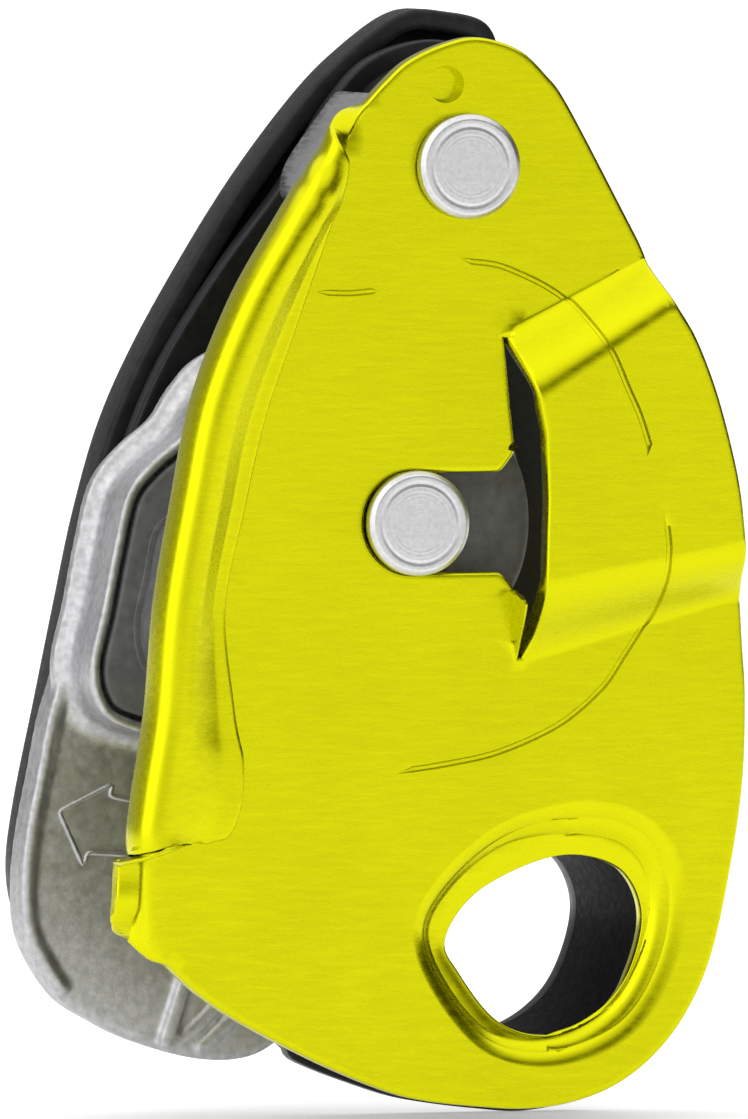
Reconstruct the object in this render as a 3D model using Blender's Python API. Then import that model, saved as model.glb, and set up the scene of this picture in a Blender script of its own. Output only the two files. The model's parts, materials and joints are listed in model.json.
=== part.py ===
"""Assisted-braking belay device, built piece by piece in millimetres and placed in metres.

X runs to the right across the side plates, Y from the moving side plate to the handle, Z up.
The origin is the centre of the attachment hole, half-way through the rope channel.
"""

import math

import bmesh
import bpy
from mathutils import Matrix, Vector
from mathutils.geometry import delaunay_2d_cdt

MM = 0.001
GAP = 0.3

# Axes that things turn on, as (x, z).
PIVOT = (-7.8, 70.2)
AXLE = (-12.6, 38.1)
PAWL_AXIS = (-28.0, 24.0)
PAWL_SPRING_AXIS = (-32.6, 32.4)

# Depth of each layer along Y, front to back.
SHEET_FRONT = -13.2
SHEET_BACK = -11.0
HEAD_FRONT = -14.9
BRIDGE_LIFT = 4.2
DISH_DEPTH = 1.2
CHANNEL_FRONT = -9.4
BLOCK_FRONT = -8.8
HUB_FRONT = -9.5
BUSH_FRONT = -9.3
CAM_FRONT = -0.4
BLOCK_SCREW_END = 3.0
FLANGE_FRONT = 5.2
STOP_PIN_FRONT = 7.4
FLANGE_BACK = 9.5
FIXED_FRONT = 9.8
FIXED_BACK = 12.3
HANDLE_FRONT = 13.8
WELL_FLOOR = 14.5
NUT_FRONT = 14.8
AXLE_END = 15.4
NUT_BACK = 16.6
PAWL_DEPTH = (14.6, 17.6)
KNOB_FRONT = 17.4
HANDLE_FLOOR = 18.9
HANDLE_BACK = 20.8
CLIP_GROOVE = (21.0, 21.9)
CLIP_DEPTH = (21.2, 21.7)
BOSS_BACK = 22.4
KNOB_BACK = 22.9

# Round parts.
HEAD_RADIUS = 4.75
AXLE_RADIUS = 3.9
RIVET_RADIUS = 3.4
BOSS_RADIUS = 12.0
SPACER_RADIUS = 5.0
NUT_RADIUS = 6.6
BUSH_RADIUS = 5.1
CAM_BORE = 5.4
SPRING_WELL = 8.4
STOP_PIN_RADIUS = 1.5
TRACK_HALF = 2.2
BLOCK_SCREW_RADIUS = 1.1
BLOCK_SCREW_HEAD = 1.6
BLOCK_SCREW_HOLE = 1.4
BLOCK_SCREW_SEAT = 1.9
KNOB_RADIUS = 9.3
KNOB_WELL = 9.7
KNOB_BORE = 2.2
KNOB_HEAD_SEAT = 4.2
KNOB_SCREW_RADIUS = 1.6
KNOB_SCREW_HEAD = 3.6
KNOB_SCREW_END = 10.0
THREAD_BORE = 1.9
PAWL_RADIUS = 3.2
PAWL_BORE = 1.6
PAWL_PIN_RADIUS = 1.3
ROLL_RADIUS = 2.3
SLOT_HALF = 4.4

# Walls, rims and edges.
HEAD_CHAMFER = 0.3
RIVET_FOOT = 1.2
CLIP_GROOVE_DEPTH = 0.8
SLEEVE_BORE = 0.4
SLEEVE_OUTSIDE = 2.6
FIXED_HOLE_MARGIN = 0.6
FRICTION_THICKNESS = 2.0
CAP_RIM = 1.5
CAP_DEPTH = 1.6
HANDLE_WALL = 1.9
COLLAR_WALL = 2.2

# Travel that the arc slot in the cam gives it.
CAM_TRAVEL = 22.0
STOP_REACH = 17.0
STOP_ANGLE = 200.0


# ---------------------------------------------------------------- outlines

def curve_through(points, steps, closed=True):
    """A Catmull-Rom curve through the points, with the given steps to a span."""
    count = len(points)
    spans = count if closed else count - 1
    path = []
    for span in range(spans):
        if closed:
            a, b, c, d = (Vector(points[(span + k) % count]) for k in (-1, 0, 1, 2))
        else:
            a, b, c, d = (Vector(points[min(max(span + k, 0), count - 1)]) for k in (-1, 0, 1, 2))
        for step in range(steps):
            t = step / steps
            path.append(0.5 * (2 * b + (c - a) * t + (2 * a - 5 * b + 4 * c - d) * t ** 2
                               + (3 * b - a - 3 * c + d) * t ** 3))
    if not closed:
        path.append(Vector(points[-1]))
    return [(p.x, p.y) for p in path]


def circle(centre, radius, count):
    """Points of a circle, counter-clockwise."""
    return arc(centre, radius, 0, 360 - 360 / count, count - 1)


def arc(centre, radius, start, end, steps):
    """Points of an arc between two angles in degrees."""
    points = []
    for step in range(steps + 1):
        angle = math.radians(start + (end - start) * step / steps)
        points.append((centre[0] + radius * math.cos(angle), centre[1] + radius * math.sin(angle)))
    return points


def area(loop):
    """Signed area of a loop: positive when it runs counter-clockwise."""
    return 0.5 * sum(a[0] * b[1] - b[0] * a[1] for a, b in zip(loop, loop[1:] + loop[:1]))


def inset(loop, distance):
    """The loop moved inwards by a distance along its own normals."""
    side = 1 if area(loop) > 0 else -1
    moved = []
    for index, point in enumerate(loop):
        before = Vector(loop[index - 1])
        after = Vector(loop[(index + 1) % len(loop)])
        along = (after - before).normalized()
        moved.append((point[0] - side * distance * along.y, point[1] + side * distance * along.x))
    return moved


def inside(point, loop):
    """Whether a point lies within a loop."""
    x, z = point
    odd = False
    for (ax, az), (bx, bz) in zip(loop, loop[1:] + loop[:1]):
        if (az > z) != (bz > z) and x < (bx - ax) * (z - az) / (bz - az) + ax:
            odd = not odd
    return odd


def line_distance(point, line):
    """Distance from a line, positive on its left."""
    (ax, az), (bx, bz) = line
    length = math.hypot(bx - ax, bz - az)
    return ((bx - ax) * (point[1] - az) - (bz - az) * (point[0] - ax)) / length


# ---------------------------------------------------------------- shapes

def finish_mesh(name, mesh, smooth_angle=35):
    """Link a bmesh as an object with its faces pointing out."""
    bmesh.ops.recalc_face_normals(mesh, faces=mesh.faces)
    for vertex in mesh.verts:
        vertex.co *= MM
    data = bpy.data.meshes.new(name)
    mesh.to_mesh(data)
    mesh.free()
    data.shade_smooth()
    data.set_sharp_from_angle(angle=math.radians(smooth_angle))
    item = bpy.data.objects.new(name, data)
    bpy.context.collection.objects.link(item)
    return item


def fill(outline, holes, lines=()):
    """Triangles that fill an outline round its holes: the points, the faces, the loops' indices."""
    points = []
    edges = []
    for loop in [outline, *holes]:
        first = len(points)
        points += loop
        edges += [(first + k, first + (k + 1) % len(loop)) for k in range(len(loop))]
    for line in lines:
        first = len(points)
        points += line
        edges += [(first + k, first + k + 1) for k in range(len(line) - 1)]
    flat, _, faces, origin, _, _ = delaunay_2d_cdt([Vector(p) for p in points], edges, [], 0, 1e-5)
    kept = []
    for face in faces:
        middle = sum((flat[k] for k in face), Vector((0, 0))) / 3
        if inside(middle, outline) and not any(inside(middle, hole) for hole in holes):
            kept.append(face)
    renamed = {}
    for index, sources in enumerate(origin):
        for source in sources:
            renamed[source] = index
    return [tuple(p) for p in flat], kept, renamed


def sheet(name, outline, holes, front, back, lines=()):
    """A closed plate whose front and back are each a depth, or a function of (x, z)."""
    points, faces, _ = fill(outline, holes, lines)
    mesh = bmesh.new()
    used = sorted({k for face in faces for k in face})
    sides = []
    for depth in (front, back):
        at = depth if callable(depth) else lambda x, z, y=depth: y
        sides.append({k: mesh.verts.new((points[k][0], at(*points[k]), points[k][1])) for k in used})
    close_sheet(mesh, sides, faces)
    return finish_mesh(name, mesh)


def close_sheet(mesh, sides, faces):
    """Faces on both sides of a sheet, and walls along every open edge."""
    tally = {}
    for face in faces:
        for a, b in zip(face, face[1:] + face[:1]):
            key = frozenset((a, b))
            tally[key] = tally.get(key, 0) + 1
    for face in faces:
        for side in sides:
            mesh.faces.new([side[k] for k in face])
        for a, b in zip(face, face[1:] + face[:1]):
            if tally[frozenset((a, b))] == 1:
                mesh.faces.new([sides[0][a], sides[0][b], sides[1][b], sides[1][a]])


def turning(name, centre, profile, count=32, solid=True):
    """A piece turned about an axis along Y, from (radius, depth) points."""
    mesh = bmesh.new()
    rings = []
    for radius, depth in profile:
        if radius == 0:
            rings.append([mesh.verts.new((centre[0], depth, centre[1]))])
        else:
            rings.append([mesh.verts.new((x, depth, z)) for x, z in circle(centre, radius, count)])
    pairs = list(zip(rings, rings[1:]))
    if not solid:
        pairs.append((rings[-1], rings[0]))
    for low, high in pairs:
        for k in range(count):
            n = (k + 1) % count
            corners = [low[k % len(low)], low[n % len(low)], high[n % len(high)], high[k % len(high)]]
            mesh.faces.new(list(dict.fromkeys(corners)))
    return finish_mesh(name, mesh)


def ring(name, centre, inner, outer, front, back, count=32):
    """A plain ring."""
    return turning(name, centre, [(inner, front), (outer, front), (outer, back), (inner, back)], count, False)


def spring(name, centre, radius, wire, front, back, turns):
    """A wound wire spring about an axis along Y."""
    sides = 14
    data = bpy.data.curves.new(name, "CURVE")
    data.dimensions = "3D"
    data.bevel_depth = wire / 2 * MM
    data.bevel_resolution = 1
    data.use_fill_caps = True
    line = data.splines.new("POLY")
    steps = round(turns * sides)
    line.points.add(steps)
    for step in range(steps + 1):
        angle = 2 * math.pi * step / sides
        depth = front + wire / 2 + (back - front - wire) * step / steps
        x = centre[0] + radius * math.cos(angle)
        z = centre[1] + radius * math.sin(angle)
        line.points[step].co = (x * MM, depth * MM, z * MM, 1)
    item = bpy.data.objects.new(name, data)
    bpy.context.collection.objects.link(item)
    return item


def cut(item, cutter, operation="DIFFERENCE"):
    """Cut, or join, one object with another that isn't itself part of the model."""
    cutter.hide_render = True
    cutter.display_type = "WIRE"
    step = item.modifiers.new(cutter.name, "BOOLEAN")
    step.operation = operation
    step.object = cutter
    step.solver = "EXACT"


def hang(items, name, axis, parent=None, parent_axis=(0, 0)):
    """Hang moving pieces, with their origins on the joint's axis, on an empty that stands there."""
    empty = bpy.data.objects.new(name, None)
    bpy.context.collection.objects.link(empty)
    empty.parent = parent
    empty.location = ((axis[0] - parent_axis[0]) * MM, 0, (axis[1] - parent_axis[1]) * MM)
    for item in items:
        item.data.transform(Matrix.Translation((-axis[0] * MM, 0, -axis[1] * MM)))
        item.parent = empty
    return empty


# ---------------------------------------------------------------- materials

def paint(items, name, colour, roughness, metallic):
    """One Principled material for each item."""
    for item in items:
        material = bpy.data.materials.new(f"{item.name}_{name}")
        material.use_nodes = True
        shader = material.node_tree.nodes["Principled BSDF"]
        shader.inputs["Base Color"].default_value = (*colour, 1)
        shader.inputs["Roughness"].default_value = roughness
        shader.inputs["Metallic"].default_value = metallic
        item.data.materials.append(material)


# ---------------------------------------------------------------- moving side plate

ATTACHMENT_HOLE = curve_through(
    [(-9.3, 0.4), (-6.6, 4.4), (-1.2, 7.2), (3.4, 7.9), (7.6, 6.3), (9.3, 2.0), (7.4, -4.0),
     (3.6, -7.5), (-0.6, -8.3), (-4.6, -6.8), (-8.0, -2.6)], 3)
DISH = curve_through(
    [(-12.7, 1.4), (-10, 6.4), (-4, 11), (3.8, 12.6), (9.6, 10.9), (12.7, 5.9), (12, -1.5), (8, -8),
     (0.9, -10.9), (-6, -9.6), (-11, -4)], 2)

# The lower right of the sheet, from the pivot's top round to the foot of the rolled edge.
PLATE_TOP = [(-9.9, 81), (-6.6, 81.6), (-2.8, 80.7), (1.9, 75.6), (7.3, 65.7), (9, 62.4), (10.5, 58.4)]
PLATE_RIGHT = [(12.7, 54.7), (14.6, 50), (16.1, 44.7), (17.4, 36.5), (18.1, 31.6), (18.7, 22), (18.5, 14.9),
               (17.5, 7.7), (15.6, -0.9), (13.2, -6.3), (10.1, -10.2), (6.4, -12.9), (2.2, -14.4),
               (-2, -14.9), (-6, -14.7), (-11.3, -14.1), (-15, -13.2), (-20, -11.2), (-25, -8.8), (-30, -6.1),
               (-33.3, -3.8), (-37.1, -0.3), (-40, 2.5), (-40.4, 5.4)]
PLATE_LEFT_TOP = [(-22.6, 70.6), (-20.7, 73.2), (-16.9, 77), (-13.2, 79.7)]

# The line where the sheet starts to roll forward, and the width of the flap that lies on its front.
ROLL_LINE = [(-36.7, 9.6), (-35.6, 15.5), (-34.3, 22), (-33.1, 31), (-31.2, 40.5), (-29.5, 49), (-26.4, 57.2),
             (-22.8, 64)]
FLAP_WIDTH = [5.2, 7.0, 5.4, 5.0, 4.8, 4.7, 4.6, 2.0]

# Creases of the bridge that the axle's head passes under, as lines that run left to right.
BRIDGE_TOP = [(-4.6, 55.3), (11.5, 63.0)]
BRIDGE_UPPER_BEND = [(-4.0, 48.0), (14.0, 59.5)]
BRIDGE_LOWER_BEND = [(-4.0, 32.4), (22.0, 37.0)]
BRIDGE_BOTTOM = [(-4.6, 24.7), (20.0, 31.6)]
SLIT_X = -2.3


def bridge_height(x, z):
    """How far the sheet is pressed forward to pass over the axle's head."""
    if x < SLIT_X:
        return 0.0
    below_top = -line_distance((x, z), BRIDGE_TOP)
    above_bottom = line_distance((x, z), BRIDGE_BOTTOM)
    if below_top <= 0 or above_bottom <= 0:
        return 0.0
    to_upper = line_distance((x, z), BRIDGE_UPPER_BEND)
    to_lower = -line_distance((x, z), BRIDGE_LOWER_BEND)
    share = 1.0
    if to_upper > 0:
        share = below_top / (below_top + to_upper)
    if to_lower > 0:
        share = above_bottom / (above_bottom + to_lower)
    return BRIDGE_LIFT * share


def dish_height(x, z):
    """How far the sheet is pressed back round the attachment hole."""
    if not inside((x, z), DISH):
        return 0.0
    to_rim = min(math.dist((x, z), p) for p in DISH)
    to_hole = min(math.dist((x, z), p) for p in ATTACHMENT_HOLE)
    return -DISH_DEPTH * to_rim / (to_rim + to_hole)


def sheet_height(x, z):
    return bridge_height(x, z) + dish_height(x, z)


def axle_slot():
    """The slot that the axle leaves the sheet by, and the slit beside the bridge."""
    loop = [(-4.2, 55.3), (-3.7, 50), (-3.1, 44.6), (-4.6, AXLE[1] + SLOT_HALF)]
    loop += arc(AXLE, SLOT_HALF, 90, 270, 10)
    loop += [(-4.6, AXLE[1] - SLOT_HALF), (-3.0, 31.8), (-2.9, 25.4)]
    loop += [(-1.9, 28.4), (-1.5, 33), (-1.3, 40), (-1.5, 46), (-2.3, 50)]
    return loop


def moving_side_plate():
    """The sheet, its bridge and dish, and the rolled edge, as one closed body."""
    roll = curve_through(ROLL_LINE, 2, closed=False)
    widths = [p[1] for p in curve_through(list(enumerate(FLAP_WIDTH)), 2, closed=False)]
    right = curve_through(PLATE_TOP + PLATE_RIGHT, 2, closed=False)
    outline = right + roll + PLATE_LEFT_TOP
    holes = [axle_slot(), ATTACHMENT_HOLE, circle(PIVOT, RIVET_RADIUS + GAP, 20)]
    lines = [BRIDGE_TOP, BRIDGE_UPPER_BEND, BRIDGE_LOWER_BEND, BRIDGE_BOTTOM, DISH + DISH[:1]]
    points, faces, renamed = fill(outline, holes, lines)
    mesh = bmesh.new()
    front, back = {}, {}
    for k in sorted({k for face in faces for k in face}):
        x, z = points[k]
        lift = sheet_height(x, z)
        front[k] = mesh.verts.new((x, SHEET_FRONT - lift, z))
        back[k] = mesh.verts.new((x, SHEET_BACK - lift, z))
    faces = [list(face) for face in faces]
    faces += rolled_edge(mesh, front, back, roll, widths, [renamed[len(right) + k] for k in range(len(roll))])
    close_sheet(mesh, (front, back), faces)
    return finish_mesh("moving_side_plate", mesh)


def rolled_edge(mesh, front, back, roll, widths, anchors):
    """Rows of the sheet as it curls forward from the roll line and lies back on itself."""
    middle = (SHEET_FRONT + SHEET_BACK) / 2
    half = (SHEET_BACK - SHEET_FRONT) / 2
    bend_steps = 6
    flap_steps = 3
    rows = [anchors]
    for step in range(1, bend_steps + flap_steps + 1):
        row = []
        for index, (x, z) in enumerate(roll):
            before = Vector(roll[max(index - 1, 0)])
            after = Vector(roll[min(index + 1, len(roll) - 1)])
            along = (after - before).normalized()
            outward = Vector((-along.y, along.x))
            if step <= bend_steps:
                angle = math.pi * step / bend_steps
                out = ROLL_RADIUS * math.sin(angle)
                depth = middle - ROLL_RADIUS * (1 - math.cos(angle))
                normal = (math.sin(angle), math.cos(angle))
            else:
                share = (step - bend_steps) / flap_steps
                out = -widths[index] * share
                drop = 2 * ROLL_RADIUS - 2 * half - GAP
                depth = middle - 2 * ROLL_RADIUS + drop * share ** 2
                slope = 2 * drop * share / widths[index]
                length = math.hypot(1, slope)
                normal = (-slope / length, -1 / length)
            key = ("roll", step, index)
            for side, sign in ((back, 1), (front, -1)):
                reach = out + sign * half * normal[0]
                spot = (x + outward.x * reach, depth + sign * half * normal[1], z + outward.y * reach)
                side[key] = mesh.verts.new(spot)
            row.append(key)
        rows.append(row)
    faces = []
    for low, high in zip(rows, rows[1:]):
        for k in range(len(roll) - 1):
            faces.append([low[k], low[k + 1], high[k + 1], high[k]])
    return faces


# ---------------------------------------------------------------- frame pieces

FIXED_OUTLINE = [(-3.2, 81.2), (1.5, 78.6), (5, 73), (9.5, 65), (14, 57), (17.5, 48), (19.3, 38), (19.4, 26),
                 (19, 14), (18.2, 4), (17, -4), (14.8, -10.5), (11.8, -14.4), (9, -15.7), (4.5, -16.4),
                 (0.2, -16.1), (-4.5, -15.5), (-8, -14.8), (-12.5, -13.3), (-15.6, -12.1), (-17.3, -11.2),
                 (-18.5, -9.8), (-26, -5.6), (-32, 0), (-35.5, 8), (-37, 20), (-36, 33),
                 (-33.1, 43.6), (-29.5, 52), (-24, 60.6), (-18, 68.4), (-14, 75), (-9.6, 79.6)]

FRICTION_PATH = [(-12.8, 75.6), (-15.4, 72.2), (-17.2, 69.5), (-17.5, 67.4), (-15.6, 65.6), (-11, 63.2),
                 (-4, 61.8), (3.5, 61.6)]

BLOCK_OUTLINE = [(-12.2, 73.4), (-10.2, 77.2), (-5.5, 79.2), (-0.5, 76.8), (3.2, 71), (4.2, 66.2),
                 (2.5, 64.6), (-4, 64.6), (-9.8, 66.0), (-13.6, 68.6), (-14.2, 70.2)]
BLOCK_SCREWS = [(-3.9, 76.9), (1.0, 67.4)]


def strip(path, thickness):
    """The outline of a strip of even thickness along an open path."""
    left, right = [], []
    for index, point in enumerate(path):
        before = Vector(path[max(index - 1, 0)])
        after = Vector(path[min(index + 1, len(path) - 1)])
        along = (after - before).normalized()
        left.append((point[0] - along.y * thickness / 2, point[1] + along.x * thickness / 2))
        right.append((point[0] + along.y * thickness / 2, point[1] - along.x * thickness / 2))
    return left + right[::-1]


def frame_pieces():
    """Everything that is fixed to the rear side plate."""
    fixed_holes = [inset(ATTACHMENT_HOLE, -FIXED_HOLE_MARGIN), circle(PIVOT, RIVET_RADIUS + GAP, 20),
                   circle(AXLE, AXLE_RADIUS + GAP, 20), circle(stop_point(), STOP_PIN_RADIUS + GAP, 12)]
    fixed_holes += [circle(spot, BLOCK_SCREW_SEAT, 12) for spot in BLOCK_SCREWS]
    fixed = sheet("fixed_side_plate", curve_through(FIXED_OUTLINE, 2), fixed_holes, FIXED_FRONT, FIXED_BACK)

    sleeve_inner = inset(ATTACHMENT_HOLE, -SLEEVE_BORE)
    sleeve_outer = inset(ATTACHMENT_HOLE, -SLEEVE_OUTSIDE)
    sleeve = sheet("attachment_sleeve", sleeve_outer, [sleeve_inner], CHANNEL_FRONT, FIXED_FRONT - GAP)

    friction_outline = strip(curve_through(FRICTION_PATH, 2, closed=False), FRICTION_THICKNESS)
    friction = sheet("friction_plate", friction_outline, [], CHANNEL_FRONT, FIXED_FRONT - GAP)

    block_holes = [circle(PIVOT, SPACER_RADIUS + GAP, 20)]
    block_holes += [circle(spot, BLOCK_SCREW_HOLE, 12) for spot in BLOCK_SCREWS]
    block_outline = curve_through(BLOCK_OUTLINE, 2)
    block = sheet("pivot_block", block_outline, block_holes, BLOCK_FRONT, FIXED_FRONT - GAP)

    rivet = turning("pivot_rivet", PIVOT, [
        (0, HEAD_FRONT), (HEAD_RADIUS - HEAD_CHAMFER, HEAD_FRONT), (HEAD_RADIUS, HEAD_FRONT + HEAD_CHAMFER),
        (HEAD_RADIUS, SHEET_FRONT - GAP), (RIVET_RADIUS, SHEET_FRONT - GAP), (RIVET_RADIUS, FIXED_BACK + GAP),
        (HEAD_RADIUS, FIXED_BACK + GAP), (HEAD_RADIUS, FIXED_BACK + RIVET_FOOT),
        (0, FIXED_BACK + RIVET_FOOT)])
    spacer = ring("pivot_spacer", PIVOT, RIVET_RADIUS + GAP, SPACER_RADIUS,
                  SHEET_BACK + GAP, FIXED_FRONT - GAP)

    axle = turning("cam_axle", AXLE, [
        (0, HEAD_FRONT), (HEAD_RADIUS - HEAD_CHAMFER, HEAD_FRONT), (HEAD_RADIUS, HEAD_FRONT + HEAD_CHAMFER),
        (HEAD_RADIUS, SHEET_FRONT - GAP), (AXLE_RADIUS, SHEET_FRONT - GAP), (AXLE_RADIUS, AXLE_END),
        (THREAD_BORE, AXLE_END), (THREAD_BORE, KNOB_SCREW_END - 1), (0, KNOB_SCREW_END - 1)])
    nut_hole = circle(AXLE, AXLE_RADIUS + GAP, 20)
    nut = sheet("axle_nut", circle(AXLE, NUT_RADIUS, 6), [nut_hole], NUT_FRONT, NUT_BACK)

    stop = turning("cam_stop_pin", stop_point(), [
        (0, STOP_PIN_FRONT), (STOP_PIN_RADIUS, STOP_PIN_FRONT), (STOP_PIN_RADIUS, FIXED_BACK),
        (0, FIXED_BACK)], 12)

    screws = []
    head_front = FIXED_FRONT + 1.0
    head_back = FIXED_BACK - 0.1
    for name, spot in zip(("block_screw_upper", "block_screw_lower"), BLOCK_SCREWS):
        screws.append(turning(name, spot, [
            (0, BLOCK_SCREW_END), (BLOCK_SCREW_RADIUS, BLOCK_SCREW_END), (BLOCK_SCREW_RADIUS, head_front),
            (BLOCK_SCREW_HEAD, head_front), (BLOCK_SCREW_HEAD, head_back), (0, head_back)], 12))

    groove_radius = BOSS_RADIUS - CLIP_GROOVE_DEPTH
    boss = turning("handle_boss", AXLE, [
        (AXLE_RADIUS + GAP, FIXED_BACK + GAP), (BOSS_RADIUS, FIXED_BACK + GAP), (BOSS_RADIUS, CLIP_GROOVE[0]),
        (groove_radius, CLIP_GROOVE[0]), (groove_radius, CLIP_GROOVE[1]), (BOSS_RADIUS, CLIP_GROOVE[1]),
        (BOSS_RADIUS, BOSS_BACK), (KNOB_WELL, BOSS_BACK), (KNOB_WELL, WELL_FLOOR),
        (AXLE_RADIUS + GAP, WELL_FLOOR)], 32, False)
    clip_outline = arc(AXLE, BOSS_RADIUS + 1.5, 30, 330, 20) + arc(AXLE, BOSS_RADIUS - 0.5, 330, 30, 20)
    clip = sheet("handle_retaining_clip", clip_outline, [], *CLIP_DEPTH)

    cam_spring = spring("cam_return_spring", AXLE, 7.0, 1.0, 6.0, 9.4, 2.5)
    handle_spring = spring("handle_return_spring", AXLE, 15.0, 0.8, 14.4, 17.6, 2.5)
    mode_spring = spring("mode_spring", AXLE, 7.9, 0.8, 14.8, 17.0, 2)

    paint([fixed], "black_anodised", (0.02, 0.02, 0.022), 0.4, 0.6)
    paint([sleeve, boss], "black_nylon", (0.012, 0.012, 0.013), 0.45, 0)
    paint([friction], "steel", (0.6, 0.6, 0.62), 0.3, 1)
    paint([block], "dark_nylon", (0.04, 0.04, 0.043), 0.5, 0)
    paint([rivet, axle, spacer, stop, nut, *screws], "rivet_steel", (0.62, 0.62, 0.64), 0.32, 1)
    paint([cam_spring, handle_spring, mode_spring, clip], "spring_steel", (0.45, 0.45, 0.47), 0.3, 1)


# ---------------------------------------------------------------- cam

LOBE = curve_through(
    [(-20, 53), (-25.8, 51.4), (-28.5, 48.9), (-30.5, 45.9), (-33.5, 43.4), (-35.8, 40.6), (-37, 36),
     (-38.2, 30), (-39.3, 25), (-38.6, 21.5), (-36.5, 19.6), (-31, 18.4), (-22, 19), (-13, 21.5),
     (-5, 25.5), (0, 30.5), (1.8, 37), (0.8, 44), (-3.5, 49.5), (-11, 52.8)], 2)
FLANGE = curve_through(
    [(-33.5, 37.4), (-37.6, 36.2), (-39.2, 30), (-40.2, 25), (-41.7, 20), (-42.7, 15), (-43.7, 10),
     (-44.2, 5), (-43.7, 0), (-40.7, -5), (-36.8, -7.6), (-32.9, -9.4), (-27, -11), (-22, -10.7), (-18.6, -8),
     (-16.6, -2), (-14, 6), (-10.6, 14), (-8, 22), (-6, 32), (-6, 40), (-11, 46), (-20, 47), (-28, 43)], 2)
HUB_BLOCK = curve_through(
    [(-31.2, 38.8), (-33, 37), (-33.9, 33), (-34.8, 28.5), (-33.9, 24.8), (-31, 23.4), (-22, 24), (-13, 25.6),
     (-5.5, 28.2), (-1.6, 32.5), (-0.4, 38.1), (-1.6, 43.6), (-5.5, 47.4), (-12.6, 48.2), (-21, 46.8),
     (-27.5, 42.8)], 2)


def stop_point():
    """Where the stop pin stands, at the cam's open end of travel."""
    return arc(AXLE, STOP_REACH, STOP_ANGLE, STOP_ANGLE, 1)[0]


def cam_pieces():
    """The cam, its front cap with the rope hub, and its bush."""
    cam = sheet("cam", FLANGE, [], FLANGE_FRONT, FLANGE_BACK)
    lobe = sheet("cam_lobe", LOBE, [], CAM_FRONT, FLANGE_FRONT + 1.0)
    cut(cam, lobe, "UNION")
    well_front = FLANGE_FRONT + 0.4
    past = FLANGE_BACK + 2.5
    well = turning("cam_bore", AXLE, [
        (0, CAM_FRONT - 2.6), (CAM_BORE, CAM_FRONT - 2.6), (CAM_BORE, well_front), (SPRING_WELL, well_front),
        (SPRING_WELL, past), (0, past)], 20)
    cut(cam, well)
    ends = (STOP_ANGLE - 1.0, STOP_ANGLE + CAM_TRAVEL + 1.0)
    track = arc(AXLE, STOP_REACH + TRACK_HALF, *ends, 8)
    track += arc(AXLE, STOP_REACH - TRACK_HALF, *reversed(ends), 8)
    stop_track = sheet("stop_track", round_ended(track, ends), [], STOP_PIN_FRONT - 0.4, past)
    cut(cam, stop_track)
    pocket = sheet("cap_pocket", inset(LOBE, CAP_RIM), [], CAM_FRONT - 2, CAM_FRONT + CAP_DEPTH + GAP)
    cut(cam, pocket)

    cap = sheet("cam_cap", inset(LOBE, CAP_RIM + GAP), [], CAM_FRONT + 0.1, CAM_FRONT + CAP_DEPTH)
    hub = sheet("cap_hub", HUB_BLOCK, [], HUB_FRONT, CAM_FRONT + 0.6)
    cut(cap, hub, "UNION")
    before = HUB_FRONT - 2.5
    cap_bore = turning("cap_bore", AXLE, [(0, before), (CAM_BORE, before), (CAM_BORE, 4), (0, 4)], 20)
    cut(cap, cap_bore)

    bush = turning("cam_bush", AXLE, [
        (AXLE_RADIUS + GAP, BUSH_FRONT), (BUSH_RADIUS, BUSH_FRONT), (BUSH_RADIUS, FLANGE_FRONT),
        (AXLE_RADIUS + GAP, FLANGE_FRONT)], 24, False)
    paint([cam], "cast_steel", (0.42, 0.42, 0.43), 0.45, 1)
    paint([cap], "grey_nylon", (0.12, 0.12, 0.122), 0.5, 0)
    paint([bush], "bronze", (0.55, 0.4, 0.22), 0.35, 1)
    hang([cam, cap, bush], "cam_axis", AXLE)


def round_ended(track, ends):
    """The arc track with a round end about each end of travel."""
    half = len(track) // 2
    first = arc(AXLE, STOP_REACH, ends[0], ends[0], 1)[0]
    last = arc(AXLE, STOP_REACH, ends[1], ends[1], 1)[0]
    return (track[:half] + arc(last, TRACK_HALF, ends[1], ends[1] + 180, 6)[1:-1] + track[half:]
            + arc(first, TRACK_HALF, ends[0] + 180, ends[0] + 360, 6)[1:-1])


# ---------------------------------------------------------------- handle and knob

HANDLE_OUTLINE = [(3.6, 79.4), (2.6, 82.6), (-1.2, 83.7), (-5.6, 83.6), (-11.0, 79.8), (-15.2, 75.5),
                  (-20.4, 68.8), (-25.1, 61.6), (-29.8, 53.5), (-33.1, 46.3), (-35.5, 38.2), (-37.3, 30),
                  (-39.2, 21), (-41.1, 12), (-41.8, 6), (-40.9, 1.4), (-38.3, -2.6), (-35, -5.4),
                  (-29.6, -6.6), (-24, -3.6), (-19.6, 3), (-14, 14), (-5, 20.5), (2.4, 27), (5.2, 37),
                  (3.4, 47.6), (-3.4, 55.4), (-7.4, 61.6), (-4.6, 68.6), (1.2, 74.6)]


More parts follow.
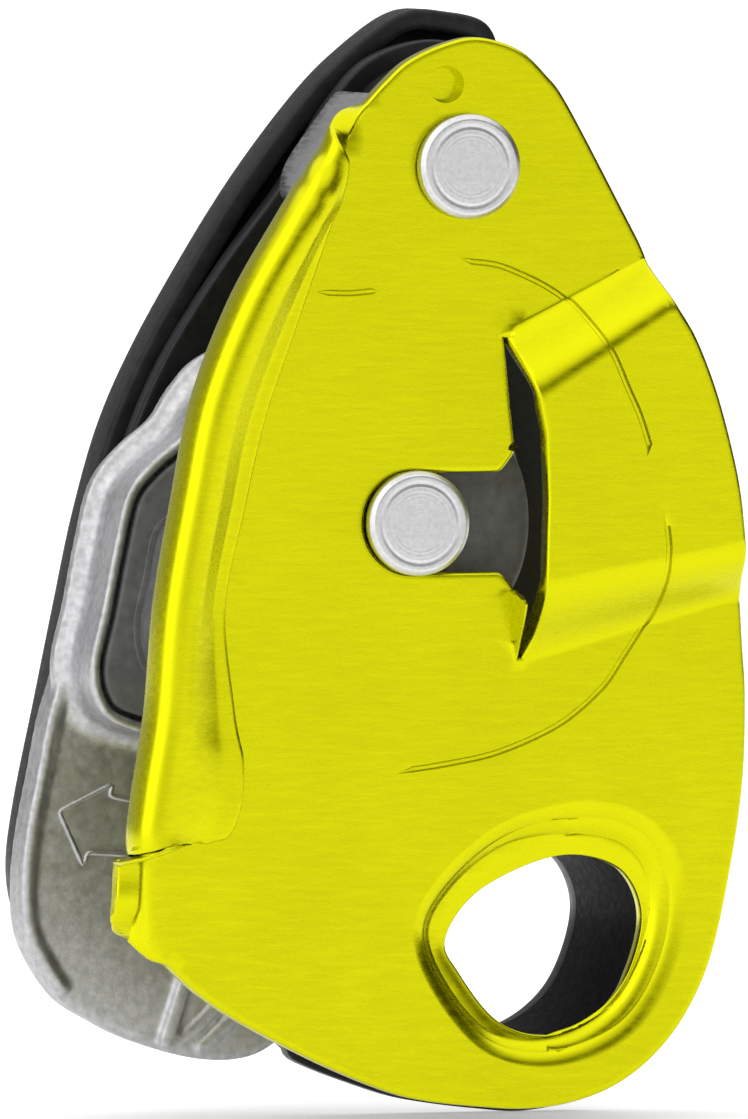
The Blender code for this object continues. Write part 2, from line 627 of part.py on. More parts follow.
def handle_pieces():
    """The folded handle: an open tray that turns on the boss, with its pawl inside."""
    outer = curve_through(HANDLE_OUTLINE, 2)
    inner = inset(outer, HANDLE_WALL)
    hole = circle(AXLE, BOSS_RADIUS + GAP, 32)
    shell = sheet("handle_shell", outer, [hole], HANDLE_FRONT, HANDLE_BACK)
    collar = circle(AXLE, BOSS_RADIUS + COLLAR_WALL, 32)
    hollow = sheet("handle_hollow", inner, [collar], HANDLE_FRONT - 2, HANDLE_FLOOR)
    cut(shell, hollow)

    pin_front = HANDLE_FRONT + 0.4
    pin_back = HANDLE_FLOOR - 0.2
    pin = turning("pawl_pin", PAWL_AXIS, [
        (0, pin_front), (PAWL_PIN_RADIUS, pin_front), (PAWL_PIN_RADIUS, pin_back), (0, pin_back)], 12)
    pawl_outline = arc(PAWL_AXIS, PAWL_RADIUS, 60, 300, 10)
    pawl_outline += [(-24.4, 20.4), (-21.4, 20.2), (-20.6, 21.8), (-21.6, 23.4), (-24.6, 26.0)]
    pawl = sheet("anti_panic_pawl", pawl_outline, [circle(PAWL_AXIS, PAWL_BORE, 12)], *PAWL_DEPTH)
    pawl_spring = spring("pawl_spring", PAWL_SPRING_AXIS, 1.5, 0.6, PAWL_DEPTH[0], HANDLE_FLOOR - 0.7, 4)
    paint([shell], "black_nylon", (0.014, 0.014, 0.015), 0.42, 0)
    paint([pawl], "cast_steel", (0.35, 0.35, 0.36), 0.4, 1)
    paint([pin, pawl_spring], "steel", (0.6, 0.6, 0.62), 0.3, 1)
    handle_axis = hang([shell, pin, pawl_spring], "handle_axis", AXLE)
    hang([pawl], "pawl_axis", PAWL_AXIS, handle_axis, AXLE)


def knob_pieces():
    """The mode selector and the screw that holds it on the axle's end."""
    knob = turning("selector_knob", AXLE, [
        (KNOB_BORE, KNOB_FRONT), (KNOB_RADIUS, KNOB_FRONT), (KNOB_RADIUS, KNOB_BACK - 0.4),
        (KNOB_RADIUS - 0.4, KNOB_BACK), (KNOB_HEAD_SEAT, KNOB_BACK), (KNOB_HEAD_SEAT, KNOB_BACK - 1.6),
        (KNOB_BORE, KNOB_BACK - 1.6)], 32, False)
    grip = sheet("knob_grip", [(AXLE[0] - 1.4, AXLE[1] + 4.6), (AXLE[0] + 1.4, AXLE[1] + 4.6),
                               (AXLE[0] + 0.8, AXLE[1] + 8.8), (AXLE[0] - 0.8, AXLE[1] + 8.8)], [],
                 KNOB_BACK - 1, KNOB_BACK + 1.0)
    cut(knob, grip, "UNION")
    screw = turning("knob_screw", AXLE, [
        (0, KNOB_SCREW_END), (KNOB_SCREW_RADIUS, KNOB_SCREW_END), (KNOB_SCREW_RADIUS, KNOB_BACK - 1.3),
        (KNOB_SCREW_HEAD, KNOB_BACK - 1.3), (KNOB_SCREW_HEAD, KNOB_BACK - 0.1), (0, KNOB_BACK - 0.1)], 16)
    paint([knob], "black_nylon", (0.02, 0.02, 0.021), 0.4, 0)
    paint([screw], "steel", (0.6, 0.6, 0.62), 0.3, 1)
    hang([knob, screw], "knob_axis", AXLE)


def main():
    for item in list(bpy.data.objects):
        bpy.data.objects.remove(item)
    frame_pieces()
    plate = moving_side_plate()
    paint([plate], "yellow_green", (0.6, 0.6, 0.0), 0.3, 1)
    hang([plate], "side_plate_axis", PIVOT)
    cam_pieces()
    handle_pieces()
    knob_pieces()


main()
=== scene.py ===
"""The looks of an assisted-braking belay device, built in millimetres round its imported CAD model.

X runs to the right across the side plates, Y from the moving side plate to the handle, Z up.
The origin is the centre of the attachment hole, half-way through the rope channel.
"""

import json
import math

import bmesh
import bpy
import numpy as np
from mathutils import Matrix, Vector
from mathutils.geometry import delaunay_2d_cdt
from mathutils.kdtree import KDTree


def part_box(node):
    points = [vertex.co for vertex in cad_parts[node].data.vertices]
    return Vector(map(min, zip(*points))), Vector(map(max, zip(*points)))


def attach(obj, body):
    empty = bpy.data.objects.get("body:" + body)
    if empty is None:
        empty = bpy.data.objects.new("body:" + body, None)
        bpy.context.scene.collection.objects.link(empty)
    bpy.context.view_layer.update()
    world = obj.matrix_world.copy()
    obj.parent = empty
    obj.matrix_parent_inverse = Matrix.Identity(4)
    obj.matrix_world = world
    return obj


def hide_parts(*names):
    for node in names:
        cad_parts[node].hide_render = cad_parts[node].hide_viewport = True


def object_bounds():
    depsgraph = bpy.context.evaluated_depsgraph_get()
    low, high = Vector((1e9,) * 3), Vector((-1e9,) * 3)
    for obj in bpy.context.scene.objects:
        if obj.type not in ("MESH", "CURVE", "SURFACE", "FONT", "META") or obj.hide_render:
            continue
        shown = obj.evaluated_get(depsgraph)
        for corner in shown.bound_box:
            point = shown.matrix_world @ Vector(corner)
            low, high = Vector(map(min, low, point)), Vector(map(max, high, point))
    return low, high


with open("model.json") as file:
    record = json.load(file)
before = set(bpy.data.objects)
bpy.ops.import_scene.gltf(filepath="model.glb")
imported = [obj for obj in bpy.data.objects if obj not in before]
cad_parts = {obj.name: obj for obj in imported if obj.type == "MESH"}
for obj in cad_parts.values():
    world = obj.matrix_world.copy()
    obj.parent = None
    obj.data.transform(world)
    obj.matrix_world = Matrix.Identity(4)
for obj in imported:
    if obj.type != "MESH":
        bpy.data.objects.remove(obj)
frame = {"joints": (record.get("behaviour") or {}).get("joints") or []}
cad_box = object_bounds()

MM = 0.001
GAP = 0.3  # the play between a shaft and its hole


def axis_of(joint):
    """Where a joint's axis crosses the plane of the plates, as (x, z) in millimetres."""
    found = next(j for j in frame["joints"] if j["name"] == joint)
    return (found["pos_m"][0] / MM, found["pos_m"][2] / MM)


def depths(node):
    """The front and back of a CAD node along Y, in millimetres."""
    low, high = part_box(node)
    return low.y / MM, high.y / MM


PIVOT = axis_of("side_plate_pivot")
AXLE = axis_of("cam_pivot")
PAWL_AXIS = axis_of("pawl_pivot")

SHEET_FRONT = -13.2
SHEET_BACK = -11.0
SHEET_HALF = (SHEET_BACK - SHEET_FRONT) / 2
SHEET_MIDDLE = (SHEET_FRONT + SHEET_BACK) / 2
SHEET_EDGE = 0.36  # the radius of the sheet's rounded edges
HEAD_FRONT = depths("pivot_rivet")[0]
CAM_FRONT, CAM_BACK = depths("cam")
FLANGE_FRONT = 5.2
FLANGE_RECESS = 0.55  # how far the flange's face lies behind its rim
FIXED_FRONT, FIXED_BACK = depths("fixed_side_plate")
HANDLE_FRONT, HANDLE_BACK = depths("handle_shell")
HANDLE_WALL = 1.9
HANDLE_FLOOR = HANDLE_BACK - HANDLE_WALL
KNOB_BACK = depths("knob_screw")[1] + 0.1

HEAD_RADIUS = 4.75
AXLE_RADIUS = 3.9
RIVET_RADIUS = 3.4
BOSS_RADIUS = 12.0
CLIP_FRONT, CLIP_BACK = 21.0, 21.9
CLIP_GROOVE = 0.8
KNOB_RADIUS = 9.3
KNOB_WELL = 9.7
KNOB_FRONT = 17.4
WELL_FLOOR = 14.5
BUSH_BORE = 5.4
BRIDGE_LIFT = 4.2
DISH_DEPTH = 1.2
DISH_SPAN = (-9.0, 7.0)
DISH_WIDTHS = (1.3, 2.8)
CAM_TRAVEL = 22.0
STOP_REACH = 17.0
STOP_ANGLE = 200.0


# ---------------------------------------------------------------- outlines
# Outlines run clockwise seen from the front and holes counter-clockwise, so that the left of a loop
# is always away from the material.

def evenly(path, spacing, closed, measured=2):
    """Points at an even spacing along a path, which is measured over its first few columns."""
    path = np.array(path, float)
    if closed:
        path = np.vstack([path, path[:1]])
    steps = np.linalg.norm(np.diff(path[:, :measured], axis=0), axis=1)
    along = np.concatenate(([0.0], np.cumsum(steps)))
    count = max(int(round(along[-1] / spacing)), 3)
    at = np.linspace(0, along[-1], count + 1)
    if closed:
        at = at[:-1]
    return np.stack([np.interp(at, along, column) for column in path.T], axis=1)


def curve_through(points, spacing=0.5, closed=True, measured=2):
    """Evenly spaced points of a Catmull-Rom curve through points of any number of columns."""
    base = np.array(points, float)
    count = len(base)
    path = []
    for span in range(count if closed else count - 1):
        if closed:
            picks = [(span + k) % count for k in (-1, 0, 1, 2)]
        else:
            picks = [min(max(span + k, 0), count - 1) for k in (-1, 0, 1, 2)]
        a, b, c, d = base[picks]
        for t in np.linspace(0, 1, 24, endpoint=False):
            path.append(0.5 * (2 * b + (c - a) * t + (2 * a - 5 * b + 4 * c - d) * t ** 2
                               + (3 * b - a - 3 * c + d) * t ** 3))
    if not closed:
        path.append(base[-1])
    return evenly(path, spacing, closed, measured)


def eased(points, radius, closed=True, steps=5):
    """A polyline with its corners rounded off."""
    points = [np.array(p, float) for p in points]
    result = []
    for k, corner in enumerate(points):
        if not closed and k in (0, len(points) - 1):
            result.append(corner)
            continue
        before = points[k - 1] - corner
        after = points[(k + 1) % len(points)] - corner
        lengths = np.linalg.norm(before), np.linalg.norm(after)
        reach = min(radius, lengths[0] / 2.02, lengths[1] / 2.02)
        start = corner + before / lengths[0] * reach
        end = corner + after / lengths[1] * reach
        for t in np.linspace(0, 1, steps + 1):
            result.append((1 - t) ** 2 * start + 2 * t * (1 - t) * corner + t ** 2 * end)
    return np.array(result)


def arc(centre, radius, start, end, steps):
    """Points of an arc between two angles in degrees."""
    angles = np.radians(np.linspace(start, end, steps + 1))
    return np.stack([centre[0] + radius * np.cos(angles), centre[1] + radius * np.sin(angles)], axis=1)


def circle(centre, radius, count=96):
    """Points of a circle, counter-clockwise."""
    return arc(centre, radius, 0, 360 - 360 / count, count - 1)


def area(loop):
    """Signed area of a loop: positive when it runs counter-clockwise."""
    x, z = np.array(loop, float)[:, :2].T
    return 0.5 * float(np.sum(x * np.roll(z, -1) - np.roll(x, -1) * z))


def clockwise(loop):
    """A loop that runs clockwise."""
    loop = np.array(loop, float)
    return loop[::-1] if area(loop) > 0 else loop


def counter_clockwise(loop):
    """A loop that runs counter-clockwise."""
    loop = np.array(loop, float)
    return loop[::-1] if area(loop) < 0 else loop


def lefts(path, closed=True):
    """The unit direction to the left of each point of a path."""
    if closed:
        along = np.roll(path, -1, axis=0) - np.roll(path, 1, axis=0)
    else:
        along = np.gradient(path, axis=0)
    along = along / np.maximum(np.linalg.norm(along, axis=1), 1e-9)[:, None]
    return np.stack([-along[:, 1], along[:, 0]], axis=1)


def offset(loop, distance):
    """A closed loop moved to its left, which is outwards for an outline and into a hole for a hole."""
    return loop + distance * lefts(loop)


def grown(loop, distance):
    """An outline, running either way, grown by a distance."""
    return offset(clockwise(loop), distance)


def inside(points, loop):
    """Whether each point lies within a loop."""
    x, z = points[:, 0][:, None], points[:, 1][:, None]
    ax, az = loop[:, 0][None], loop[:, 1][None]
    bx, bz = np.roll(loop[:, 0], -1)[None], np.roll(loop[:, 1], -1)[None]
    rise = np.where(bz == az, 1e-12, bz - az)
    crossed = ((az > z) != (bz > z)) & (x < (bx - ax) * (z - az) / rise + ax)
    return crossed.sum(axis=1) % 2 == 1


def nearest(points, targets):
    """Distance from each point to the nearest of the targets."""
    tree = KDTree(len(targets))
    for index, target in enumerate(targets):
        tree.insert((target[0], target[1], 0), index)
    tree.balance()
    return np.array([tree.find((p[0], p[1], 0))[2] for p in points])


def line_distance(x, z, line):
    """Distance from a straight line, positive on its left."""
    (ax, az), (bx, bz) = line
    return ((bx - ax) * (z - az) - (bz - az) * (x - ax)) / math.hypot(bx - ax, bz - az)


def smooth_step(t):
    """Rises smoothly from 0 at 0 to 1 at 1."""
    t = np.clip(t, 0, 1)
    return t * t * (3 - 2 * t)


# ---------------------------------------------------------------- meshes

def finish(name, vertices, faces, sharp=38, origin=(0, 0, 0)):
    """A smooth-shaded object from millimetre vertices, with its origin where it's told."""
    mesh = bmesh.new()
    made = [mesh.verts.new((Vector(v) - Vector(origin)) * MM) for v in vertices]
    for face in faces:
        corners = list(dict.fromkeys(face))
        if len(corners) > 2:
            try:
                mesh.faces.new([made[k] for k in corners])
            except ValueError:  # that face is there already
                continue
    loose = [v for v in mesh.verts if not v.link_faces]
    bmesh.ops.delete(mesh, geom=loose, context="VERTS")
    bmesh.ops.recalc_face_normals(mesh, faces=mesh.faces)
    data = bpy.data.meshes.new(name)
    mesh.to_mesh(data)
    mesh.free()
    data.shade_smooth()
    data.set_sharp_from_angle(angle=math.radians(sharp))
    item = bpy.data.objects.new(name, data)
    item.location = Vector(origin) * MM
    bpy.context.scene.collection.objects.link(item)
    return item


def fill(loops, points=(), lines=()):
    """Triangles within the first loop and outside the others: points, faces, and each input's index."""
    given, edges = [], []
    for loop in loops:
        first, count = len(given), len(loop)
        given += [tuple(p[:2]) for p in loop]
        edges += [(first + k, first + (k + 1) % count) for k in range(count)]
    for line, closed in lines:
        first, count = len(given), len(line)
        given += [tuple(p[:2]) for p in line]
        edges += [(first + k, first + (k + 1) % count) for k in range(count if closed else count - 1)]
    given += [tuple(p) for p in points]
    flat, _, faces, origin, _, _ = delaunay_2d_cdt([Vector(p) for p in given], edges, [], 0, 1e-6)
    flat = np.array([tuple(p) for p in flat])
    middles = flat[np.array(faces)].mean(axis=1)
    kept = inside(middles, np.array(loops[0])[:, :2])
    for hole in loops[1:]:
        kept &= ~inside(middles, np.array(hole)[:, :2])
    renamed = {}
    for index, sources in enumerate(origin):
        for source in sources:
            renamed[source] = index
    return flat, [list(face) for face, keep in zip(faces, kept) if keep], renamed


def plate_mesh(outline, holes, front, back, edge=0.3, steps=4, hole_edge=None):
    """Vertices and faces of a flat plate with rounded edges."""
    loops = [clockwise(outline)] + [counter_clockwise(hole) for hole in holes]
    edges = [edge] + [edge if hole_edge is None else hole_edge] * len(holes)
    starts = [offset(loop, -round_) for loop, round_ in zip(loops, edges)]
    supports = [(offset(loop, -round_ - 0.25), True) for loop, round_ in zip(loops, edges)]
    flat, faces, renamed = fill(starts, lines=supports)
    vertices = [(x, front, z) for x, z in flat] + [(x, back, z) for x, z in flat]
    shift = len(flat)
    made = faces + [[k + shift for k in reversed(face)] for face in faces]
    first = 0
    for loop, start, round_ in zip(loops, starts, edges):
        count = len(loop)
        rows = [[renamed[first + k] for k in range(count)]]
        turns = [math.pi / 2 * i / steps for i in range(1, steps + 1)]
        ring = [(math.sin(a), front + round_ * (1 - math.cos(a))) for a in turns]
        ring += [(math.sin(a), back - round_ * (1 - math.cos(a))) for a in reversed(turns)]
        out = lefts(loop)
        for share, depth in ring:
            moved = start + round_ * share * out
            rows.append(list(range(len(vertices), len(vertices) + count)))
            vertices += [(x, depth, z) for x, z in moved]
        rows.append([renamed[first + k] + shift for k in range(count)])
        for low, high in zip(rows, rows[1:]):
            made += [[low[k], low[(k + 1) % count], high[(k + 1) % count], high[k]] for k in range(count)]
        first += count
    return vertices, made


def joined(parts):
    """Several sets of vertices and faces as one."""
    vertices, faces = [], []
    for some, theirs in parts:
        shift = len(vertices)
        vertices += some
        faces += [[k + shift for k in face] for face in theirs]
    return vertices, faces


def plate(name, outline, holes, front, back, edge=0.3, **more):
    """A flat plate with rounded edges, as an object."""
    return finish(name, *plate_mesh(outline, holes, front, back, edge, **more))


def turned_mesh(centre, profile, count=96, flutes=0, flute_depth=0.0):
    """Vertices and faces of a shape turned about an axis along Y from (radius, depth) points."""
    vertices, faces, rings = [], [], []
    for radius, depth in profile:
        size = 1 if radius < 1e-6 else count
        rings.append(list(range(len(vertices), len(vertices) + size)))
        for k in range(size):
            angle = 2 * math.pi * k / count
            fluted = radius > KNOB_RADIUS - 0.6
            reach = radius - flute_depth * (0.5 - 0.5 * math.cos(flutes * angle)) * fluted
            vertices.append((centre[0] + reach * math.cos(angle), depth, centre[1] + reach * math.sin(angle)))
    closed = profile[0][0] > 1e-6 and profile[-1][0] > 1e-6
    pairs = list(zip(rings, rings[1:])) + ([(rings[-1], rings[0])] if closed else [])
    for low, high in pairs:
        for k in range(count):
            n = (k + 1) % count
            faces.append([low[k % len(low)], low[n % len(low)], high[n % len(high)], high[k % len(high)]])
    return vertices, faces


def turned(name, centre, profile, ease=0.2, closed=False, **more):
    """A turned object with eased corners, whose origin is on its own axis."""
    vertices, faces = turned_mesh(centre, [tuple(p) for p in eased(profile, ease, closed)], **more)
    return finish(name, vertices, faces, origin=(centre[0], 0, centre[1]))


def tube_mesh(path, radius, sides=12):
    """Vertices and faces of a round tube with closed ends along a path of (x, y, z) points."""
    path = np.array(path, float)
    along = np.gradient(path, axis=0)
    along /= np.linalg.norm(along, axis=1)[:, None]
    across = np.cross(along[0], (0.1, 1, 0.2))
    vertices, faces = [], []
    for point, direction in zip(path, along):
        across = across - direction * np.dot(across, direction)
        across /= np.linalg.norm(across)
        other = np.cross(direction, across)
        for k in range(sides):
            angle = 2 * math.pi * k / sides
            vertices.append(tuple(point + radius * (math.cos(angle) * across + math.sin(angle) * other)))
    for row in range(len(path) - 1):
        for k in range(sides):
            n = (k + 1) % sides
            faces.append([row * sides + k, row * sides + n, (row + 1) * sides + n, (row + 1) * sides + k])
    faces.append(list(range(sides)))
    faces.append(list(range((len(path) - 1) * sides, len(path) * sides)))
    return vertices, faces


def spring(name, centre, radius, wire, front, back, turns):
    """A wound wire spring about an axis along Y, with closed flat end coils."""
    count = int(turns * 48)
    share = np.linspace(0, 1, count + 1)
    angle = 2 * math.pi * turns * share
    depth = front + wire / 2 + (back - front - wire) * smooth_step(share * 1.1 - 0.05)
    path = np.stack([centre[0] + radius * np.cos(angle), depth, centre[1] + radius * np.sin(angle)], axis=1)
    return finish(name, *tube_mesh(path, wire / 2))


# ---------------------------------------------------------------- materials

class Nodes:
    """A short way to write a material's node tree."""

    def __init__(self, name, roughness, metallic, base=(0.5, 0.5, 0.5)):
        self.material = bpy.data.materials.new(name)
        self.material.use_nodes = True
        self.tree = self.material.node_tree
        self.shader = self.tree.nodes["Principled BSDF"]
        self.shader.inputs["Roughness"].default_value = roughness
        self.shader.inputs["Metallic"].default_value = metallic
        self.shader.inputs["Base Color"].default_value = (*base, 1)
        self.place = self.tree.nodes.new("ShaderNodeTexCoord").outputs["Object"]

    def add(self, kind, **values):
        node = self.tree.nodes.new(kind)
        for key, value in values.items():
            setattr(node, key, value)
        return node

    def link(self, a, b):
        self.tree.links.new(a, b)

    def noise(self, scale, detail=3.0, stretch=None, place=None):
        """Noise with the given number of features to a metre, drawn out along an axis by stretch."""
        source = place or self.place
        if stretch:
            mapping = self.add("ShaderNodeMapping")
            mapping.inputs["Scale"].default_value = stretch
            self.link(source, mapping.inputs["Vector"])
            source = mapping.outputs["Vector"]
        node = self.add("ShaderNodeTexNoise")
        node.inputs["Scale"].default_value = scale
        node.inputs["Detail"].default_value = detail
        self.link(source, node.inputs["Vector"])
        return node.outputs["Fac"]

    def spread(self, value, low, high, start=0.3, end=0.7):
        """A value drawn out from its own range to another."""
        node = self.add("ShaderNodeMapRange")
        for socket, number in zip(("From Min", "From Max", "To Min", "To Max"), (start, end, low, high)):
            node.inputs[socket].default_value = number
        self.link(value, node.inputs["Value"])
        return node.outputs["Result"]

    def colours(self, value, dark, light):
        """A colour between two, by a value."""
        node = self.add("ShaderNodeValToRGB")
        node.color_ramp.elements[0].position = 0.3
        node.color_ramp.elements[1].position = 0.7
        node.color_ramp.elements[0].color = (*dark, 1)
        node.color_ramp.elements[1].color = (*light, 1)
        self.link(value, node.inputs["Fac"])
        self.link(node.outputs["Color"], self.shader.inputs["Base Color"])

    def rough(self, value, low, high):
        self.link(self.spread(value, low, high), self.shader.inputs["Roughness"])

    def bumps(self, *layers):
        """Bumps from (value, height in millimetres) pairs."""
        normal = None
        for value, height in layers:
            node = self.add("ShaderNodeBump")
            node.inputs["Distance"].default_value = height * MM
            self.link(value, node.inputs["Height"])
            if normal:
                self.link(normal, node.inputs["Normal"])
            normal = node.outputs["Normal"]
        self.link(normal, self.shader.inputs["Normal"])


def anodised_sheet():
    """Satin anodised aluminium in yellow-green, with the faint grain of rolled sheet."""
    n = Nodes("yellow_green_anodised", 0.27, 1.0)
    n.shader.inputs["Coat Weight"].default_value = 0.08
    n.shader.inputs["Coat Roughness"].default_value = 0.16
    cloud = n.noise(60, 2)
    grain = n.noise(1800, 4, stretch=(0.16, 1, 1))
    n.colours(cloud, (0.585, 0.585, 0.001), (0.625, 0.62, 0.001))
    n.rough(grain, 0.22, 0.31)
    n.bumps((grain, 0.006), (n.noise(5200, 2), 0.003))
    return n.material


def turned_steel():
    """Bright steel with the fine rings of a lathe tool about the piece's own axis."""
    n = Nodes("turned_steel", 0.34, 1.0)
    flat = n.add("ShaderNodeVectorMath", operation="MULTIPLY")
    flat.inputs[1].default_value = (1, 0, 1)
    n.link(n.place, flat.inputs[0])
    reach = n.add("ShaderNodeVectorMath", operation="LENGTH")
    n.link(flat.outputs["Vector"], reach.inputs[0])
    rings = n.add("ShaderNodeTexNoise", noise_dimensions="1D")
    rings.inputs["Scale"].default_value = 5200
    rings.inputs["Detail"].default_value = 2
    n.link(reach.outputs["Value"], rings.inputs["W"])
    speck = n.noise(2600, 4)
    n.colours(speck, (0.56, 0.56, 0.57), (0.66, 0.66, 0.67))
    n.rough(rings.outputs["Fac"], 0.30, 0.42)
    n.bumps((rings.outputs["Fac"], 0.010), (speck, 0.004))
    tangent = n.add("ShaderNodeTangent", direction_type="RADIAL", axis="Y")
    n.link(tangent.outputs["Tangent"], n.shader.inputs["Tangent"])
    n.shader.inputs["Anisotropic"].default_value = 0.45
    return n.material


def plain_steel(name="plated_steel", dark=(0.50, 0.50, 0.51), light=(0.62, 0.62, 0.64), low=0.22, high=0.36):
    """Rolled or plated steel with a fine drawn grain."""
    n = Nodes(name, (low + high) / 2, 1.0)
    grain = n.noise(2400, 4, stretch=(1, 0.15, 1))
    n.colours(n.noise(240, 3), dark, light)
    n.rough(grain, low, high)
    n.bumps((grain, 0.006))
    return n.material


def cast_steel():
    """Blasted investment casting: matt, with a fine all-over grain."""
    n = Nodes("blasted_cast_steel", 0.48, 1.0)
    n.colours(n.noise(1500, 5), (0.40, 0.40, 0.41), (0.56, 0.56, 0.57))
    n.rough(n.noise(700, 3), 0.42, 0.56)
    n.bumps((n.noise(4200, 3), 0.016), (n.noise(900, 3), 0.014))
    return n.material


def black_anodised():
    """Black satin anodised aluminium."""
    n = Nodes("black_anodised_aluminium", 0.38, 0.7)
    grain = n.noise(2400, 4, stretch=(1, 1, 0.2))
    n.colours(n.noise(1600, 3), (0.016, 0.016, 0.018), (0.022, 0.022, 0.025))
    n.rough(grain, 0.32, 0.46)
    n.bumps((grain, 0.006))
    return n.material


def nylon(name, dark, light, low, high, relief=0.014, specular=0.2):
    """Moulded glass-filled nylon with a fine spark-eroded texture."""
    n = Nodes(name, (low + high) / 2, 0.0)
    n.shader.inputs["Specular IOR Level"].default_value = specular
    n.colours(n.noise(900, 4), dark, light)
    n.rough(n.noise(1500, 3), low, high)
    n.bumps((n.noise(3400, 3), relief))
    return n.material


def bronze():
    """Sintered bronze with dark pores."""
    n = Nodes("sintered_bronze", 0.36, 1.0)
    pores = n.noise(4200, 4)
    n.colours(pores, (0.36, 0.22, 0.09), (0.60, 0.42, 0.21))
    n.rough(pores, 0.30, 0.45)
    n.bumps((pores, 0.008))
    return n.material


YELLOW = anodised_sheet()
TURNED = turned_steel()
PLAIN_STEEL = plain_steel()
SPRING_STEEL = plain_steel("spring_steel", (0.36, 0.36, 0.38), (0.50, 0.50, 0.52), 0.24, 0.38)
CAST = cast_steel()
BLACK_ANODISED = black_anodised()
BLACK_NYLON = nylon("black_nylon", (0.009, 0.009, 0.010), (0.018, 0.018, 0.019), 0.34, 0.48)
SLEEVE_NYLON = nylon("sleeve_nylon", (0.004, 0.004, 0.005), (0.008, 0.008, 0.009), 0.45, 0.6, 0.005, 0.02)
GREY_NYLON = nylon("grey_nylon", (0.092, 0.092, 0.094), (0.135, 0.135, 0.138), 0.44, 0.58)
BRONZE = bronze()


def settle(item, body, slot, material, *nodes):
    """Give a piece its material and its body, and let it stand for its CAD nodes. The slot argument is not
    used.
    """
    item.data.materials.clear()
    item.data.materials.append(material)
    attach(item, body)
    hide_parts(*nodes)
    return item


# ---------------------------------------------------------------- moving side plate

HOLE_POINTS = [(-9.3, 0.4), (-6.6, 4.4), (-1.2, 7.2), (3.4, 7.9), (7.6, 6.3), (9.3, 2.0), (7.4, -4.0),
               (3.6, -7.5), (-0.6, -8.3), (-4.6, -6.8), (-8.0, -2.6)]
DISH_POINTS = [(-12.7, 1.4), (-10, 6.4), (-4, 11), (3.8, 12.6), (9.6, 10.9), (12.7, 5.9), (12, -1.5), (8, -8),
               (0.9, -10.9), (-6, -9.6), (-11, -4)]
ATTACHMENT_HOLE = curve_through(HOLE_POINTS, 0.4)
DISH = curve_through(DISH_POINTS, 0.4)
HOLE_RIM = curve_through(HOLE_POINTS, 0.04)
DISH_RIM = curve_through(DISH_POINTS, 0.04)

# The free outline, from the left of the top round to the foot of the rolled edge.
PLATE_FREE = [
    (-17.2, 75.9), (-15.4, 77.8), (-13.2, 79.7), (-9.9, 81.2), (-6.6, 81.8), (-2.8, 80.7), (-0.2, 78.4),
    (1.9, 75.6), (7.3, 65.7), (9, 62.4), (10.5, 58.4), (12.7, 54.7), (14.6, 50), (16.1, 44.7),
    (16.95, 40.6), (17.4, 36.5), (17.6, 34.1), (18.1, 31.6), (18.45, 26.3), (18.7, 22), (18.5, 14.9),
    (17.5, 7.7), (15.6, -0.9), (13.2, -6.3), (10.1, -10.2), (6.4, -12.9), (2.2, -14.4), (-2, -14.9),
    (-6, -14.7), (-11.3, -14.1), (-15, -13.2), (-20, -11.2), (-25, -8.8), (-30, -6.1), (-33.3, -3.8),
    (-35.8, -1.5)]

# The line that the sheet rolls forward from, bottom to top. Each station has its x and z, how far the
# sheet reaches beyond the line, the flap's own width, how much of its turn it makes, and how tight it is.
ROLL_STATIONS = [
    (-35.8, -1.5, 0.0, 5.0, 1.0, 1.0), (-36.5, -0.8, 0.3, 5.0, 1.0, 1.0), (-36.8, 0.2, 1.3, 5.0, 1.0, 1.0),
    (-36.9, 1.4, 2.7, 5.0, 1.0, 1.0), (-36.95, 2.8, 4.3, 5.0, 1.0, 1.0), (-36.95, 4.2, 4.8, 5.0, 1.0, 0.97),
    (-36.95, 6.5, 4.6, 5.0, 1.0, 0.93), (-37.0, 8.4, 4.5, 5.0, 1.0, 0.9), (-37.1, 8.8, 4.7, 5.2, 1.0, 0.95),
    (-37.2, 9.15, 7.2, 6.0, 1.0, 1.0), (-37.3, 9.5, 10.6, 6.2, 1.0, 1.0),
    (-37.3, 10.7, 12.2, 6.5, 1.0, 1.0), (-37.0, 12.9, 13.0, 7.2, 1.0, 1.0),
    (-36.6, 15.5, 13.1, 7.3, 1.0, 1.0), (-36.1, 18.4, 12.6, 6.8, 1.0, 1.0),
    (-35.6, 22.0, 11.3, 5.5, 1.0, 1.0), (-34.8, 31.0, 9.8, 4.0, 1.0, 1.0), (-33.1, 40.5, 10.0, 4.2, 1.0, 1.0),
    (-31.3, 49.0, 10.2, 4.4, 1.0, 1.0), (-28.0, 57.2, 9.9, 4.1, 1.0, 1.0), (-24.1, 64.0, 8.3, 3.0, 1.0, 0.95),
    (-21.9, 67.8, 6.1, 2.4, 1.0, 0.8), (-20.2, 70.6, 4.0, 2.0, 0.95, 0.62), (-18.9, 73.2, 1.9, 2.0, 0.8, 0.5),
    (-17.9, 74.8, 0.7, 2.0, 0.55, 0.4), (-17.2, 75.9, 0.0, 2.0, 0.3, 0.4)]
SECTION_AT = [0.0, 3.0, 4.2, 4.45, 5.2, 5.8]
SECTION_TURN = [0.0, 95.0, 104.0, 127.0, 151.0, 182.0]
# How steeply the flap slopes down to the sheet, along its own width.
FLAP_AT = [0.0, 0.12, 0.58, 0.78, 1.0]
FLAP_SLOPE = [0.0, 1.0, 1.0, 0.1, 0.0]
# The foot, below the flap: the sheet is pressed back first and then folded forward.
FOOT_AT = [0.0, 0.6, 2.3, 2.7, 3.1, 3.7, 5.2]
FOOT_TURN = [0.0, -36.0, -38.0, 10.0, 40.0, 80.0, 85.0]
FOOT_TOP = (8.8, 9.1)
ROW_STEP = 0.3
FLAP_GAP = 0.1
STEEPEST = 248.0

